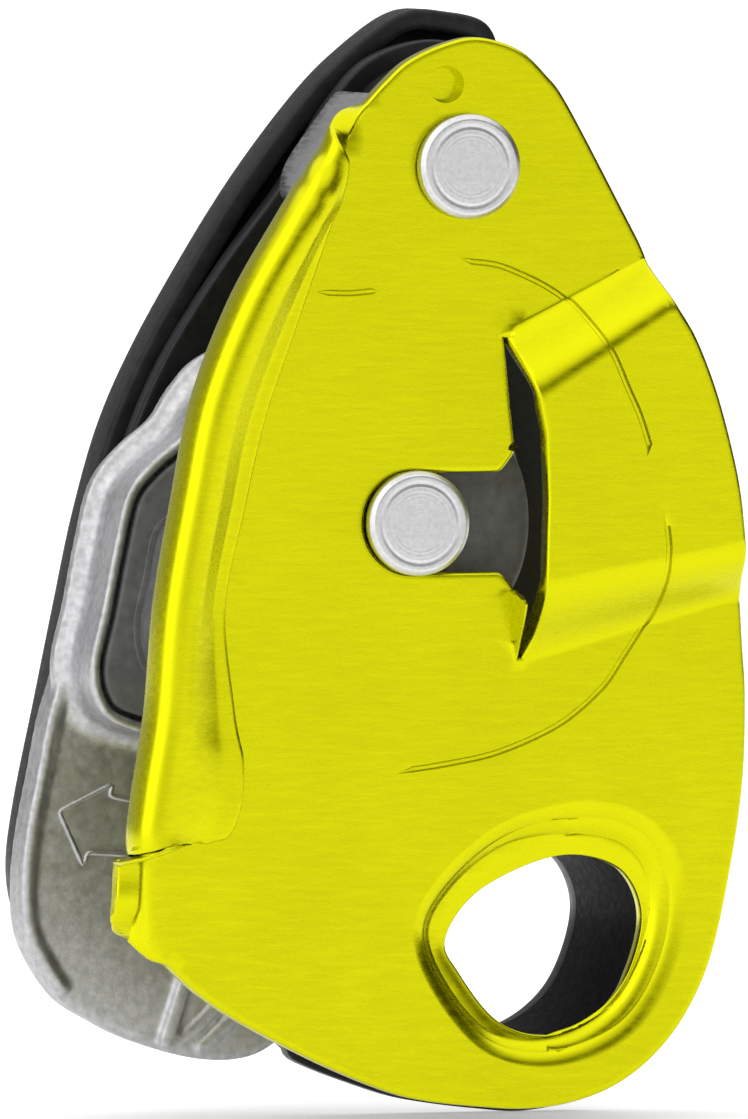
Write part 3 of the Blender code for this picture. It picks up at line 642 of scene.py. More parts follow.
BRIDGE_TOP = [(-4.6, 55.3), (11.5, 63.0)]
BRIDGE_UPPER_BEND = [(-4.0, 48.0), (14.0, 59.5)]
BRIDGE_LOWER_BEND = [(-4.0, 32.4), (22.0, 37.0)]
BRIDGE_BOTTOM = [(-4.6, 24.7), (20.0, 31.6)]
SLIT_X = -2.3
# How far from each bend's line its rows of points lie.
BEND_ROWS = (-0.25, 0.0, 0.3, 0.65, 1.05)

GROOVE_LINES = [
    [(-7.2, 61.6), (-4.9, 61.3), (-2.7, 60.5), (-0.2, 59.3), (2, 57.8), (4.1, 55.7), (6, 53.3), (7.5, 50),
     (8.6, 47.6), (9.5, 44.9)],
    [(11.2, 37.6), (11.4, 35.3), (11, 33.2), (10.1, 31), (8.8, 28.5), (7.1, 25.9), (5, 23), (1, 19.8),
     (-4.6, 17.4), (-9.3, 16.4), (-12.8, 15.9)],
    [(-20.7, 58.9), (-18.7, 58.85), (-16.7, 59.0)]]
# How far a line engraved in the flat sheet creeps sideways for each millimetre that the bridge rises.
GROOVE_CREEP = (-0.306, 0.035)
GROOVE_DEPTH = 0.3
GROOVE_FLOOR = 0.13
GROOVE_TOP = 0.29
DIMPLE = (-9.7, 77.6)
DIMPLE_RADIUS = 1.7
DIMPLE_DEPTH = 1.5
# How far the front face sinks at the attachment hole's own edge, and how wide that is.
LIP_DEPTH = 0.45
LIP_WIDTH = 1.6


def bridge_height(x, z):
    """How far the sheet is pressed forward to pass over the axle's head, with S-shaped ramps."""
    below_top = -line_distance(x, z, BRIDGE_TOP)
    above_bottom = line_distance(x, z, BRIDGE_BOTTOM)
    to_upper = np.maximum(line_distance(x, z, BRIDGE_UPPER_BEND), 0)
    to_lower = np.maximum(-line_distance(x, z, BRIDGE_LOWER_BEND), 0)
    upper = smooth_step(below_top / np.maximum(below_top + to_upper, 1e-6))
    lower = smooth_step(above_bottom / np.maximum(above_bottom + to_lower, 1e-6))
    within = (x > SLIT_X - 1.2) & (below_top > 0) & (above_bottom > 0)
    return np.where(within, BRIDGE_LIFT * np.minimum(upper, lower), 0.0)


def dish_width(points):
    """How wide the dish's step is: narrow at the left, broad at the right."""
    left, right = DISH_SPAN
    narrow, broad = DISH_WIDTHS
    return narrow + (broad - narrow) * smooth_step((points[:, 0] - left) / (right - left))


def dish_height(points):
    """How far the sheet is pressed back round the hole: sharply at the left, softly at the right."""
    share = nearest(points, DISH_RIM) / dish_width(points)
    steps = 0.4 * smooth_step(share / 0.42) + 0.6 * smooth_step((share - 0.46) / 0.54)
    return np.where(inside(points, DISH_RIM), -DISH_DEPTH * steps, 0.0)


def dish_loops():
    """Loops that follow the dish's step from its rim inwards."""
    rim = clockwise(DISH)
    side, width = lefts(rim), dish_width(rim)[:, None]
    return [(rim - side * width * share, True) for share in np.linspace(-0.12, 1.2, 12)]


def sheet_height(points):
    """How far the sheet lies in front of its flat."""
    return bridge_height(points[:, 0], points[:, 1]) + dish_height(points)


def axle_slot():
    """The slot that the axle leaves the sheet by, with the slit beside the bridge."""
    half = 4.5
    x, z = AXLE[0] - 0.25, AXLE[1]
    loop = [(-4.2, 55.3), (-3.7, 50), (-3.1, 44.4), (-4.5, z + half)]
    loop += [tuple(p) for p in arc((x, z), half, 90, 270, 28)]
    loop += [(-4.5, z - half), (-3.1, 32.0), (-2.9, 25.4), (-1.9, 28.4), (-1.5, 33), (-1.3, 40),
             (-1.5, 46), (-2.3, 50)]
    return evenly(eased(loop, 0.5), 0.42, True)


def groove_path(line, spacing):
    """An engraved line as it lies on the pressed sheet."""
    drawn = curve_through(line, spacing, closed=False)
    path = drawn.copy()
    for _ in range(6):
        rise = bridge_height(path[:, 0], path[:, 1])[:, None]
        path = drawn + rise * GROOVE_CREEP
    return path


def groove(line, half):
    """The two sides of an engraved line, at a distance from its middle."""
    path = groove_path(line, 0.4)
    out = lefts(path, closed=False) * half
    return np.vstack([path + out, (path - out)[::-1]])


def section(z, reach, flap, fade, tight, rows):
    """Positions and turns along the sheet's middle as it rolls over, cut off at its reach."""
    pressed = smooth_step((FOOT_TOP[1] - z) / (FOOT_TOP[1] - FOOT_TOP[0]))
    fine = np.arange(0, rows * ROW_STEP + 0.05, 0.05)
    end = SECTION_AT[-1] * tight
    rest = 2 * SHEET_HALF + FLAP_GAP
    low, high = SECTION_TURN[-1], STEEPEST

    def trace(last):
        turn = fade * np.interp(fine / tight, SECTION_AT, SECTION_TURN)
        share = np.interp((fine - end) / flap, FLAP_AT, FLAP_SLOPE)
        turn = turn + fade * (last - SECTION_TURN[-1]) * share
        turn = np.radians(turn + (np.interp(fine / tight, FOOT_AT, FOOT_TURN) - turn) * pressed)
        out = np.concatenate(([0], np.cumsum(np.cos(turn[:-1]) * 0.05)))
        forward = np.concatenate(([0], np.cumsum(np.sin(turn[:-1]) * 0.05)))
        return out, forward, turn

    for _ in range(18):
        last = (low + high) / 2
        out, forward, turn = trace(last)
        if np.interp(end + flap, fine, forward) > rest:
            low = last
        else:
            high = last
    at = np.minimum(np.arange(rows + 1) * ROW_STEP, reach)
    return at, np.interp(at, fine, out), np.interp(at, fine, forward), np.interp(at, fine, turn)


def crumple(at, z):
    """The shallow upright folds that pressing leaves at the foot and the top of the rolled edge."""
    foot = smooth_step((z - 1.0) / 2.0) * smooth_step((8.9 - z) / 1.5) * smooth_step((at - 0.6) / 0.8)
    top = smooth_step((z - 66.0) / 2.0) * smooth_step((76.0 - z) / 2.0) * smooth_step((at - 0.8) / 0.8)
    return 0.12 * foot * math.sin(5.2 * at + 0.5 * z) + 0.06 * top * math.sin(2.2 * z + 1.4 * at)


def bend_points():
    """Rows of points along the bridge's four bends."""
    rows = []
    bends = ((BRIDGE_TOP, -1), (BRIDGE_UPPER_BEND, 1), (BRIDGE_LOWER_BEND, -1), (BRIDGE_BOTTOM, 1))
    for (start, end), sign in bends:
        start, end = np.array(start), np.array(end)
        along = (end - start) / np.linalg.norm(end - start)
        across = np.array((-along[1], along[0])) * sign
        reach = np.arange((SLIT_X + 0.5 - start[0]) / along[0], np.linalg.norm(end - start) + 6, 0.4)
        for away in BEND_ROWS:
            rows.append(start + along * reach[:, None] + across * away)
    return np.vstack(rows)


def sheet_points(outline, loops, lines):
    """Points between the loops and lines: fine where the sheet is bent, coarse where it's flat."""
    step = 0.5
    xs = np.arange(-40, 20, step)
    zs = np.arange(-16, 84, step)
    grid = np.array([(x + (j % 2) * step / 2, z) for j, z in enumerate(zs) for x in xs])
    coarse = np.array([i % 3 == 0 and j % 3 == 0 for j in range(len(zs)) for i in range(len(xs))])
    grid, coarse = grid[inside(grid, outline)], coarse[inside(grid, outline)]
    for hole in loops:
        away = ~inside(grid, hole)
        grid, coarse = grid[away], coarse[away]
    height = sheet_height(grid)
    bent = (height > 0.01) & (height < BRIDGE_LIFT - 0.01)
    grid = grid[bent | coarse]
    bends = bend_points()
    bends = bends[inside(bends, outline)]
    grid = grid[nearest(grid, bends) > 0.26]
    taken = np.vstack([outline, *loops, *[line for line, _ in lines]])
    return np.vstack([grid[nearest(grid, taken) > 0.32], bends[nearest(bends, taken) > 0.2]])


def moving_plate():
    """The sheet with its bridge, dish and rolled edge, as one closed skin with rounded edges."""
    edge, steps = SHEET_EDGE, 4
    free = curve_through(PLATE_FREE, 0.45, closed=False)
    roll = curve_through(ROLL_STATIONS, 0.42, closed=False, measured=3)
    roll[:, 2] = np.maximum(roll[:, 2], 0)
    whole = offset(np.vstack([free[:-1], roll[:, :2][:-1]]), -edge)
    roll_first = len(free) - 1
    roll_count = len(roll) - 1
    holes = [counter_clockwise(axle_slot()), counter_clockwise(ATTACHMENT_HOLE),
             counter_clockwise(circle(PIVOT, RIVET_RADIUS + GAP, 72))]
    inner = [offset(hole, -edge) for hole in holes]
    supports = [(offset(hole, -edge - 0.28), True) for hole in holes]
    side = lefts(whole)[:roll_first + 1]
    supports.append(((whole[:roll_first + 1] - 0.28 * side)[3:-3], False))
    grooves = []
    for line in GROOVE_LINES:
        grooves += [(groove(line, GROOVE_TOP), True), (groove(line, GROOVE_FLOOR), True)]
    dimple = [(circle(DIMPLE, DIMPLE_RADIUS, 48), True), (circle(DIMPLE, DIMPLE_RADIUS - 0.3, 48), True)]
    lines = supports + grooves + dimple + dish_loops()
    points = sheet_points(whole, inner, lines)
    flat, faces, renamed = fill([whole, *inner], points, lines)

    height = sheet_height(flat)
    delta = 0.02
    slope_x = (sheet_height(flat + (delta, 0)) - sheet_height(flat - (delta, 0))) / (2 * delta)
    slope_z = (sheet_height(flat + (0, delta)) - sheet_height(flat - (0, delta))) / (2 * delta)
    normals = np.stack([-slope_x, -np.ones(len(flat)), -slope_z], axis=1)
    normals /= np.linalg.norm(normals, axis=1)[:, None]
    middles = np.stack([flat[:, 0], SHEET_MIDDLE - height, flat[:, 1]], axis=1)

    paths = np.vstack([groove_path(line, 0.1) for line in GROOVE_LINES])
    to_hole = nearest(flat, HOLE_RIM)
    sunk = np.where(nearest(flat, paths) < (GROOVE_FLOOR + GROOVE_TOP) / 2, GROOVE_DEPTH, 0.0)
    in_dimple = np.linalg.norm(flat - DIMPLE, axis=1) < DIMPLE_RADIUS - 0.15
    sunk = np.where(in_dimple, DIMPLE_DEPTH, sunk)
    sunk += LIP_DEPTH * np.clip(1 - to_hole / LIP_WIDTH, 0, 1) ** 2

    middles, normals, sunk = list(middles), list(normals), list(sunk)
    rows_needed = int(math.ceil(roll[:, 2].max() / ROW_STEP))
    out = lefts(whole)
    grid = [[renamed[(roll_first + k) % len(whole)] for k in range(roll_count + 1)]]
    sections = []
    for k in range(roll_count + 1):
        x, *shape = roll[min(k, roll_count)]
        sections.append(section(*shape, rows_needed))
    for row in range(1, rows_needed + 1):
        made = []
        for k in range(roll_count + 1):
            at, outward, forward, turn = (part[row] for part in sections[k])
            if at <= sections[k][0][row - 1] + 1e-6:
                made.append(grid[-1][k])
                continue
            index = (roll_first + k) % len(whole)
            base, left = whole[index], out[index]
            normal = np.array((-math.sin(turn) * left[0], -math.cos(turn), -math.sin(turn) * left[1]))
            spot = np.array((base[0] + left[0] * outward, SHEET_MIDDLE - forward,
                             base[1] + left[1] * outward))
            middles.append(spot + normal * crumple(at, base[1]))
            normals.append(normal)
            sunk.append(0.0)
            made.append(len(middles) - 1)
        grid.append(made)
    for low, high in zip(grid, grid[1:]):
        for k in range(roll_count):
            faces.append([low[k], high[k], high[k + 1], low[k + 1]])

    middles, normals, sunk = np.array(middles), np.array(normals), np.array(sunk)
    front = middles + normals * (SHEET_HALF - sunk)[:, None]
    back = middles - normals * SHEET_HALF
    count = len(middles)
    vertices = [tuple(v) for v in front] + [tuple(v) for v in back]
    made = [list(face) for face in faces] + [[k + count for k in reversed(face)] for face in faces]

    chains = [[renamed[k] for k in range(roll_first)] + grid[-1][:-1]]
    first = len(whole)
    for loop in inner:
        chains.append([renamed[first + k] for k in range(len(loop))])
        first += len(loop)
    for chain in chains:
        chain = list(dict.fromkeys(chain))
        place, normal = middles[chain], normals[chain]
        along = np.roll(place, -1, axis=0) - np.roll(place, 1, axis=0)
        away = np.cross(normal, along)
        away /= np.maximum(np.linalg.norm(away, axis=1), 1e-9)[:, None]
        rows = [list(chain)]
        turns = [math.pi / 2 * i / steps for i in range(1, steps + 1)]
        for sign, angles in ((1, turns), (-1, list(reversed(turns)))):
            for angle in angles:
                thick = SHEET_HALF - edge + edge * math.cos(angle)
                if sign > 0:
                    thick = thick - sunk[chain] * math.cos(angle)
                else:
                    thick = np.full(len(chain), thick)
                ring = place + away * edge * math.sin(angle) + sign * normal * thick[:, None]
                rows.append(list(range(len(vertices), len(vertices) + len(chain))))
                vertices += [tuple(v) for v in ring]
        rows.append([k + count for k in chain])
        for low, high in zip(rows, rows[1:]):
            for k in range(len(chain)):
                n = (k + 1) % len(chain)
                made.append([low[k], low[n], high[n], high[k]])
    item = finish("moving_plate_sheet", vertices, made, sharp=52)
    return settle(item, "side_plate", "yellow_green", YELLOW, "moving_side_plate")


# ---------------------------------------------------------------- frame pieces

FIXED_OUTLINE = curve_through(
    [(-3.2, 81.2), (1.5, 78.6), (5, 73), (9.5, 65), (14, 57), (17.5, 48), (19.3, 38), (19.4, 26),
     (19, 14), (18.2, 4), (17, -4), (14.8, -10.5), (11.8, -14.4), (9, -15.7), (4.5, -16.4),
     (0.2, -16.1), (-4.5, -15.5), (-8, -14.8), (-12.5, -13.3), (-15.6, -12.1), (-17.3, -11.2),
     (-18.5, -9.8), (-26, -5.6), (-32, 0), (-35.5, 8), (-37, 20), (-36, 33),
     (-33.1, 43.6), (-29.5, 52), (-24, 60.6), (-18, 68.4), (-14, 75), (-9.6, 79.6)])
FRICTION_PATH = [(-12.8, 75.6), (-15.4, 72.2), (-17.2, 69.5), (-17.5, 67.4), (-15.6, 65.6), (-11, 63.2),
                 (-4, 61.8), (3.5, 61.6)]
BLOCK_OUTLINE = curve_through(
    [(-12.2, 73.4), (-10.2, 77.2), (-5.5, 79.2), (-0.5, 76.8), (3.2, 71), (4.2, 66.2),
     (2.5, 64.6), (-4, 64.6), (-9.8, 66.0), (-13.6, 68.6), (-14.2, 70.2)])
BLOCK_SCREWS = {"block_screw_upper": (-3.9, 76.9), "block_screw_lower": (1.0, 67.4)}


def stop_point():
    """Where the stop pin stands, at the cam's open end of travel."""
    return tuple(arc(AXLE, STOP_REACH, STOP_ANGLE, STOP_ANGLE, 1)[0])


def strip(path, thickness):
    """The outline of a strip of even thickness along an open path, with round ends."""
    path = curve_through(path, 0.5, closed=False)
    side = lefts(path, closed=False) * thickness / 2
    along = np.array([side[0][1], -side[0][0]]), np.array([side[-1][1], -side[-1][0]])
    turns = np.radians(np.arange(22.5, 180, 22.5))
    tail = [path[-1] + np.cos(a) * side[-1] + np.sin(a) * along[1] for a in turns]
    head = [path[0] - np.cos(a) * side[0] - np.sin(a) * along[0] for a in turns]
    return np.vstack([path + side, tail, (path - side)[::-1], head])


def hexagon(centre, radius):
    """The outline of a hexagon with eased corners."""
    return evenly(eased(arc(centre, radius, 0, 300, 5), 0.25), 0.3, True)


def frame_pieces():
    """Everything that is fixed to the rear side plate, apart from the turned pieces."""
    holes = [grown(ATTACHMENT_HOLE, 0.6), circle(PIVOT, RIVET_RADIUS + GAP), circle(AXLE, AXLE_RADIUS + GAP),
             circle(stop_point(), 1.5 + GAP, 48)]
    holes += [circle(spot, 1.9, 48) for spot in BLOCK_SCREWS.values()]
    settle(plate("rear_side_plate", FIXED_OUTLINE, holes, FIXED_FRONT, FIXED_BACK, 0.35),
           "frame", "black_anodised", BLACK_ANODISED, "fixed_side_plate")

    front, back = depths("attachment_sleeve")
    wall = grown(ATTACHMENT_HOLE, 2.6), [grown(ATTACHMENT_HOLE, 0.4)]
    settle(plate("hole_sleeve", *wall, front, back, 0.45),
           "frame", "black_nylon", SLEEVE_NYLON, "attachment_sleeve")

    front, back = depths("friction_plate")
    settle(plate("rope_friction_plate", strip(FRICTION_PATH, 2.0), [], front, back, 0.4),
           "frame", "polished_steel", PLAIN_STEEL, "friction_plate")

    front, back = depths("pivot_block")
    screw_holes = [circle(spot, 1.4, 48) for spot in BLOCK_SCREWS.values()]
    settle(plate("block", BLOCK_OUTLINE, [circle(PIVOT, 5.0 + GAP)] + screw_holes, front, back, 0.5),
           "frame", "black_nylon", BLACK_NYLON, "pivot_block")

    front, back = depths("axle_nut")
    settle(plate("nut", hexagon(AXLE, 6.6), [circle(AXLE, AXLE_RADIUS + GAP)], front, back, 0.35),
           "frame", "polished_steel", PLAIN_STEEL, "axle_nut")

    front, back = depths("handle_retaining_clip")
    bow = np.vstack([arc(AXLE, BOSS_RADIUS + 1.5, 30, 330, 90), arc(AXLE, BOSS_RADIUS - 0.5, 330, 30, 90)])
    settle(plate("retaining_clip", evenly(bow, 0.5, True), [], front, back, 0.12),
           "frame", "spring_steel", SPRING_STEEL, "handle_retaining_clip")

    springs = {"cam_return_spring": (7.0, 1.0, 2.5), "handle_return_spring": (15.0, 0.8, 2.5),
               "mode_spring": (7.9, 0.8, 2.0)}
    for node, (radius, wire, turns) in springs.items():
        settle(spring(f"{node}_wire", AXLE, radius, wire, *depths(node), turns),
               "frame", "spring_steel", SPRING_STEEL, node)


def head_profile(shank, end):
    """A wide low head with a turned bevel, a faint ring in its face, and its shank."""
    r, y = HEAD_RADIUS, HEAD_FRONT
    ring = 0.78 * r
    return [(0, y + 0.05), (ring - 0.35, y), (ring - 0.12, y + 0.07), (ring + 0.12, y), (r - 0.45, y),
            (r, y + 0.42), (r, SHEET_FRONT - GAP), (shank, SHEET_FRONT - GAP), (shank, end)]


def socket_screw(name, centre, head, shank, front, head_front, back, body, node):
    """A screw whose head, at the back, has a hexagonal socket."""
    depth = min(1.2, (back - head_front) * 0.6)
    bore = hexagon(centre, head * 0.52)
    top = plate_mesh(circle(centre, head, 64), [bore], back - depth, back, 0.12, hole_edge=0.05)
    low = turned_mesh(centre, eased([(0, front), (shank, front), (shank, head_front), (head, head_front),
                                     (head, back - depth + 0.02), (0, back - depth + 0.02)], 0.12, False), 64)
    return settle(finish(name, *joined([top, low])), body, "polished_steel", PLAIN_STEEL, node)


def turned_pieces():
    """The rivet, the axle, the bushes and the boss."""
    back = depths("pivot_rivet")[1]
    rivet = head_profile(RIVET_RADIUS, FIXED_BACK + GAP)
    rivet += [(HEAD_RADIUS, FIXED_BACK + GAP), (HEAD_RADIUS, back - 0.35), (HEAD_RADIUS - 0.5, back),
              (0, back)]
    settle(turned("plate_rivet", PIVOT, rivet, 0.14), "frame", "polished_steel", TURNED, "pivot_rivet")

    end = depths("cam_axle")[1]
    axle = head_profile(AXLE_RADIUS, end) + [(1.9, end), (1.9, 9.0), (0, 9.0)]
    settle(turned("main_axle", AXLE, axle, 0.14), "frame", "polished_steel", TURNED, "cam_axle")

    def ring(name, centre, inner, outer, node, body, slot, material):
        front, rear = depths(node)
        profile = [(inner, front), (outer, front), (outer, rear), (inner, rear)]
        settle(turned(name, centre, profile, 0.15, True), body, slot, material, node)

    ring("rivet_spacer", PIVOT, RIVET_RADIUS + GAP, 5.0, "pivot_spacer", "frame", "polished_steel", TURNED)
    ring("bush", AXLE, AXLE_RADIUS + GAP, 5.1, "cam_bush", "cam_body", "bronze", BRONZE)

    front, rear = depths("cam_stop_pin")
    pin = [(0, front), (1.5, front), (1.5, rear), (0, rear)]
    settle(turned("stop_pin", stop_point(), pin, 0.2), "frame", "polished_steel", TURNED, "cam_stop_pin")

    for node, spot in BLOCK_SCREWS.items():
        front, rear = depths(node)
        socket_screw(f"{node}_head", spot, 1.6, 1.1, front, FIXED_FRONT + 1.0, rear, "frame", node)

    front, rear = depths("handle_boss")
    boss = [(AXLE_RADIUS + GAP, front), (BOSS_RADIUS, front), (BOSS_RADIUS, CLIP_FRONT),
            (BOSS_RADIUS - CLIP_GROOVE, CLIP_FRONT), (BOSS_RADIUS - CLIP_GROOVE, CLIP_BACK),
            (BOSS_RADIUS, CLIP_BACK), (BOSS_RADIUS, rear), (KNOB_WELL, rear), (KNOB_WELL, WELL_FLOOR),
            (AXLE_RADIUS + GAP, WELL_FLOOR)]
    settle(turned("boss", AXLE, boss, 0.18, True), "frame", "black_nylon", BLACK_NYLON, "handle_boss")


# ---------------------------------------------------------------- cam

LOBE = curve_through(
    [(-20, 53), (-25.8, 51.4), (-28.5, 48.9), (-30.5, 45.9), (-33.5, 43.4), (-35.8, 40.6), (-37, 36),
     (-38.2, 30), (-39.3, 25), (-38.6, 21.5), (-36.5, 19.6), (-31, 18.4), (-22, 19), (-13, 21.5),
     (-5, 25.5), (0, 30.5), (1.8, 37), (0.8, 44), (-3.5, 49.5), (-11, 52.8)])
FLANGE = curve_through(
    [(-33.5, 37.4), (-37.6, 36.2), (-39.2, 30), (-40.2, 25), (-41.7, 20), (-42.7, 15), (-43.7, 10),
     (-44.2, 5), (-43.7, 0), (-40.7, -5), (-36.8, -7.6), (-32.9, -9.4), (-27, -11), (-22, -10.7),
     (-18.6, -8), (-16.6, -2), (-14, 6), (-10.6, 14), (-8, 22), (-6, 32), (-6, 40), (-11, 46),
     (-20, 47), (-28, 43)])
HUB_BLOCK = curve_through(
    [(-31.2, 38.8), (-33, 37), (-33.9, 33), (-34.8, 28.5), (-33.9, 24.8), (-31, 23.4), (-22, 24), (-13, 25.6),
     (-5.5, 28.2), (-1.6, 32.5), (-0.4, 38.1), (-1.6, 43.6), (-5.5, 47.4), (-12.6, 48.2), (-21, 46.8),
     (-27.5, 42.8)])

CAM_VOXEL = 0.3
ARROW = [(-31.5, 12.1), (-35.7, 13.0), (-35.4, 14.1), (-40.5, 11.65), (-38.2, 6.7), (-37.75, 7.9),
         (-32.0, 7.5)]
FLANGE_RIM = [(-37.0, 35.6), (-38.5, 30), (-39.5, 25), (-41.0, 20), (-42.0, 15), (-43.0, 10), (-43.5, 5),
              (-43.0, 0.3), (-40.3, -4.4)]
FOOT_RIDGE = [(-27.8, -1.0), (-28.9, -4.6), (-30.5, -9.4)]
FOOT_STEPS = [[(-24.6, -4.6), (-26.4, -7.0), (-29.4, -9.6)], [(-22.6, -5.0), (-24.6, -7.8), (-27.0, -10.0)]]


def stop_track():
    """The arc slot that the stop pin runs in, with round ends."""
    wide = 2.2
    ends = (STOP_ANGLE - 1.0, STOP_ANGLE + CAM_TRAVEL + 1.0)
    first = arc(AXLE, STOP_REACH, ends[0], ends[0], 1)[0]
    last = arc(AXLE, STOP_REACH, ends[1], ends[1], 1)[0]
    round_last = arc(last, wide, ends[1], ends[1] + 180, 10)[1:-1]
    round_first = arc(first, wide, ends[0] + 180, ends[0] + 360, 10)[1:-1]
    return evenly(np.vstack([
        arc(AXLE, STOP_REACH + wide, *ends, 12), round_last,
        arc(AXLE, STOP_REACH - wide, *reversed(ends), 12), round_first]), 0.4, True)


def cam():
    """The cast cam: overlapping slabs fused by a voxel remesh and smoothed like a casting."""
    bore = circle(AXLE, BUSH_BORE, 64)
    well = circle(AXLE, 8.4, 72)
    face = FLANGE_FRONT + FLANGE_RECESS
    parts = [
        plate_mesh(FLANGE, [well], face, 7.2, 0.3, 2),
        plate_mesh(FLANGE, [well, stop_track()], 7.0, CAM_BACK, 0.6, 3),
        plate_mesh(strip(FLANGE_RIM, 1.25), [], FLANGE_FRONT, 7.0, 0.3, 2),
        plate_mesh(LOBE, [grown(LOBE, -1.0)], CAM_FRONT, 3.0, 0.35, 3),
        plate_mesh(LOBE, [bore], CAM_FRONT + 1.9, 6.0, 0.3, 2),
        plate_mesh(strip(FOOT_RIDGE, 1.3), [], FLANGE_FRONT - 0.2, 7.0, 0.3, 2)]
    for step in FOOT_STEPS:
        parts.append(plate_mesh(strip(step, 1.0), [], FLANGE_FRONT + 0.15, 7.0, 0.2, 2))
    fillet = 2.4
    for turn in np.radians([15, 30, 45, 60, 75]):
        reach = fillet * (1 - math.sin(turn))
        depth = face - fillet * (1 - math.cos(turn))
        parts.append(plate_mesh(grown(LOBE, reach), [bore], depth, 7.0, 0.1, 1))
    item = finish("cam_body_casting", *joined(parts), sharp=180)
    fused = item.modifiers.new("fuse", "REMESH")
    fused.mode = "VOXEL"
    fused.voxel_size = CAM_VOXEL * MM
    fused.use_smooth_shade = True
    soft = item.modifiers.new("soften", "SMOOTH")
    soft.factor = 0.5
    soft.iterations = 3
    return settle(item, "cam_body", "cast_steel", CAST, "cam")


def cam_relief():
    """A plain arrow raised on the flange."""
    face = FLANGE_FRONT + FLANGE_RECESS
    path = evenly(eased(ARROW, 0.3, False), 0.3, False)
    mesh = tube_mesh([(x, face + 0.02, z) for x, z in path], 0.26, 10)
    item = finish("cam_arrow_relief", *mesh)
    item.data.materials.append(CAST)
    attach(item, "cam_body")


def cam_front_cap():
    """The dark cap in the cam's front, with the hub block that the rope runs over."""
    bore = circle(AXLE, BUSH_BORE, 96)
    front = CAM_FRONT + 0.15
    base = plate_mesh(grown(LOBE, -1.45), [bore], front, CAM_FRONT + 1.6, 0.3)
    line = plate_mesh(grown(HUB_BLOCK, 0.45), [bore], front - 0.22, front + 0.6, 0.12)
    block = plate_mesh(HUB_BLOCK, [bore], depths("cam_cap")[0], CAM_FRONT + 0.6, 1.3, 6, 0.3)
    item = finish("cam_front_cap", *joined([base, line, block]))
    settle(item, "cam_body", "grey_nylon", GREY_NYLON, "cam_cap")


# ---------------------------------------------------------------- handle and knob

HANDLE_OUTLINE = curve_through(
    [(3.6, 79.4), (2.6, 82.6), (-1.2, 83.7), (-5.6, 83.6), (-11.0, 79.8), (-15.2, 75.5),
     (-20.4, 68.8), (-25.1, 61.6), (-29.8, 53.5), (-33.1, 46.3), (-35.5, 38.2), (-37.3, 30),
     (-39.2, 21), (-41.1, 12), (-41.8, 6), (-40.9, 1.4), (-38.3, -2.6), (-35, -5.4),
     (-29.6, -6.6), (-24, -3.6), (-19.6, 3), (-14, 14), (-5, 20.5), (2.4, 27), (5.2, 37),
     (3.4, 47.6), (-3.4, 55.4), (-7.4, 61.6), (-4.6, 68.6), (1.2, 74.6)])


def handle():
    """The tray-shaped handle: a lofted skin with a rounded back, a rim, a floor and a hub collar."""
    outer = clockwise(HANDLE_OUTLINE)
    rim, floor, back = HANDLE_FRONT, HANDLE_FLOOR, HANDLE_BACK
    corner = 2.6
    profile = [(corner * (1 - math.sin(a)), back - corner * (1 - math.cos(a)))
               for a in np.radians([0, 15, 30, 45, 60, 75, 90])]
    profile += [(0.0, rim + 0.5), (0.08, rim + 0.22), (0.25, rim + 0.06), (0.5, rim), (1.35, rim),
                (1.62, rim + 0.06), (1.8, rim + 0.22), (1.9, rim + 0.5), (1.9, floor - 1.2),
                (2.05, floor - 0.6), (2.5, floor - 0.15), (3.1, floor)]
    inner, collar = BOSS_RADIUS + GAP, BOSS_RADIUS + 2.2
    loops = [offset(outer, -reach) for reach, _ in profile]
    vertices, faces, rows = [], [], []
    hub = counter_clockwise(circle(AXLE, inner, 120))
    hub_wide = counter_clockwise(circle(AXLE, collar, 120))

    def cap(edge, hole, depth):
        """A flat face between an outer loop and the hub, with its first loops' indices."""
        support = [(offset(edge, -0.4), True)]
        flat, made, renamed = fill([edge, hole], lines=support)
        shift = len(vertices)
        vertices.extend((x, depth, z) for x, z in flat)
        faces.extend([k + shift for k in face] for face in made)
        return ([renamed[k] + shift for k in range(len(edge))],
                [renamed[len(edge) + k] + shift for k in range(len(hole))])

    back_edge, back_hub = cap(loops[0], hub, back)
    floor_edge, floor_hub = cap(loops[-1], hub_wide, floor)
    rows.append(back_edge)
    for loop, (_, depth) in zip(loops[1:-1], profile[1:-1]):
        rows.append(list(range(len(vertices), len(vertices) + len(loop))))
        vertices.extend((x, depth, z) for x, z in loop)
    rows.append(floor_edge)
    hub_rows = [floor_hub]
    hub_profile = [(collar, floor), (collar, rim), (inner, rim), (inner, back)]
    for radius, depth in eased(hub_profile, 0.3, False)[1:-1]:
        ring = counter_clockwise(circle(AXLE, radius, 120))
        hub_rows.append(list(range(len(vertices), len(vertices) + len(ring))))
        vertices.extend((x, depth, z) for x, z in ring)
    hub_rows.append(back_hub)
    for group in (rows, hub_rows):
        for low, high in zip(group, group[1:]):
            count = len(low)
            faces.extend([low[k], low[(k + 1) % count], high[(k + 1) % count], high[k]] for k in range(count))
    item = finish("handle_tray", vertices, faces)
    settle(item, "handle", "black_nylon", BLACK_NYLON, "handle_shell")


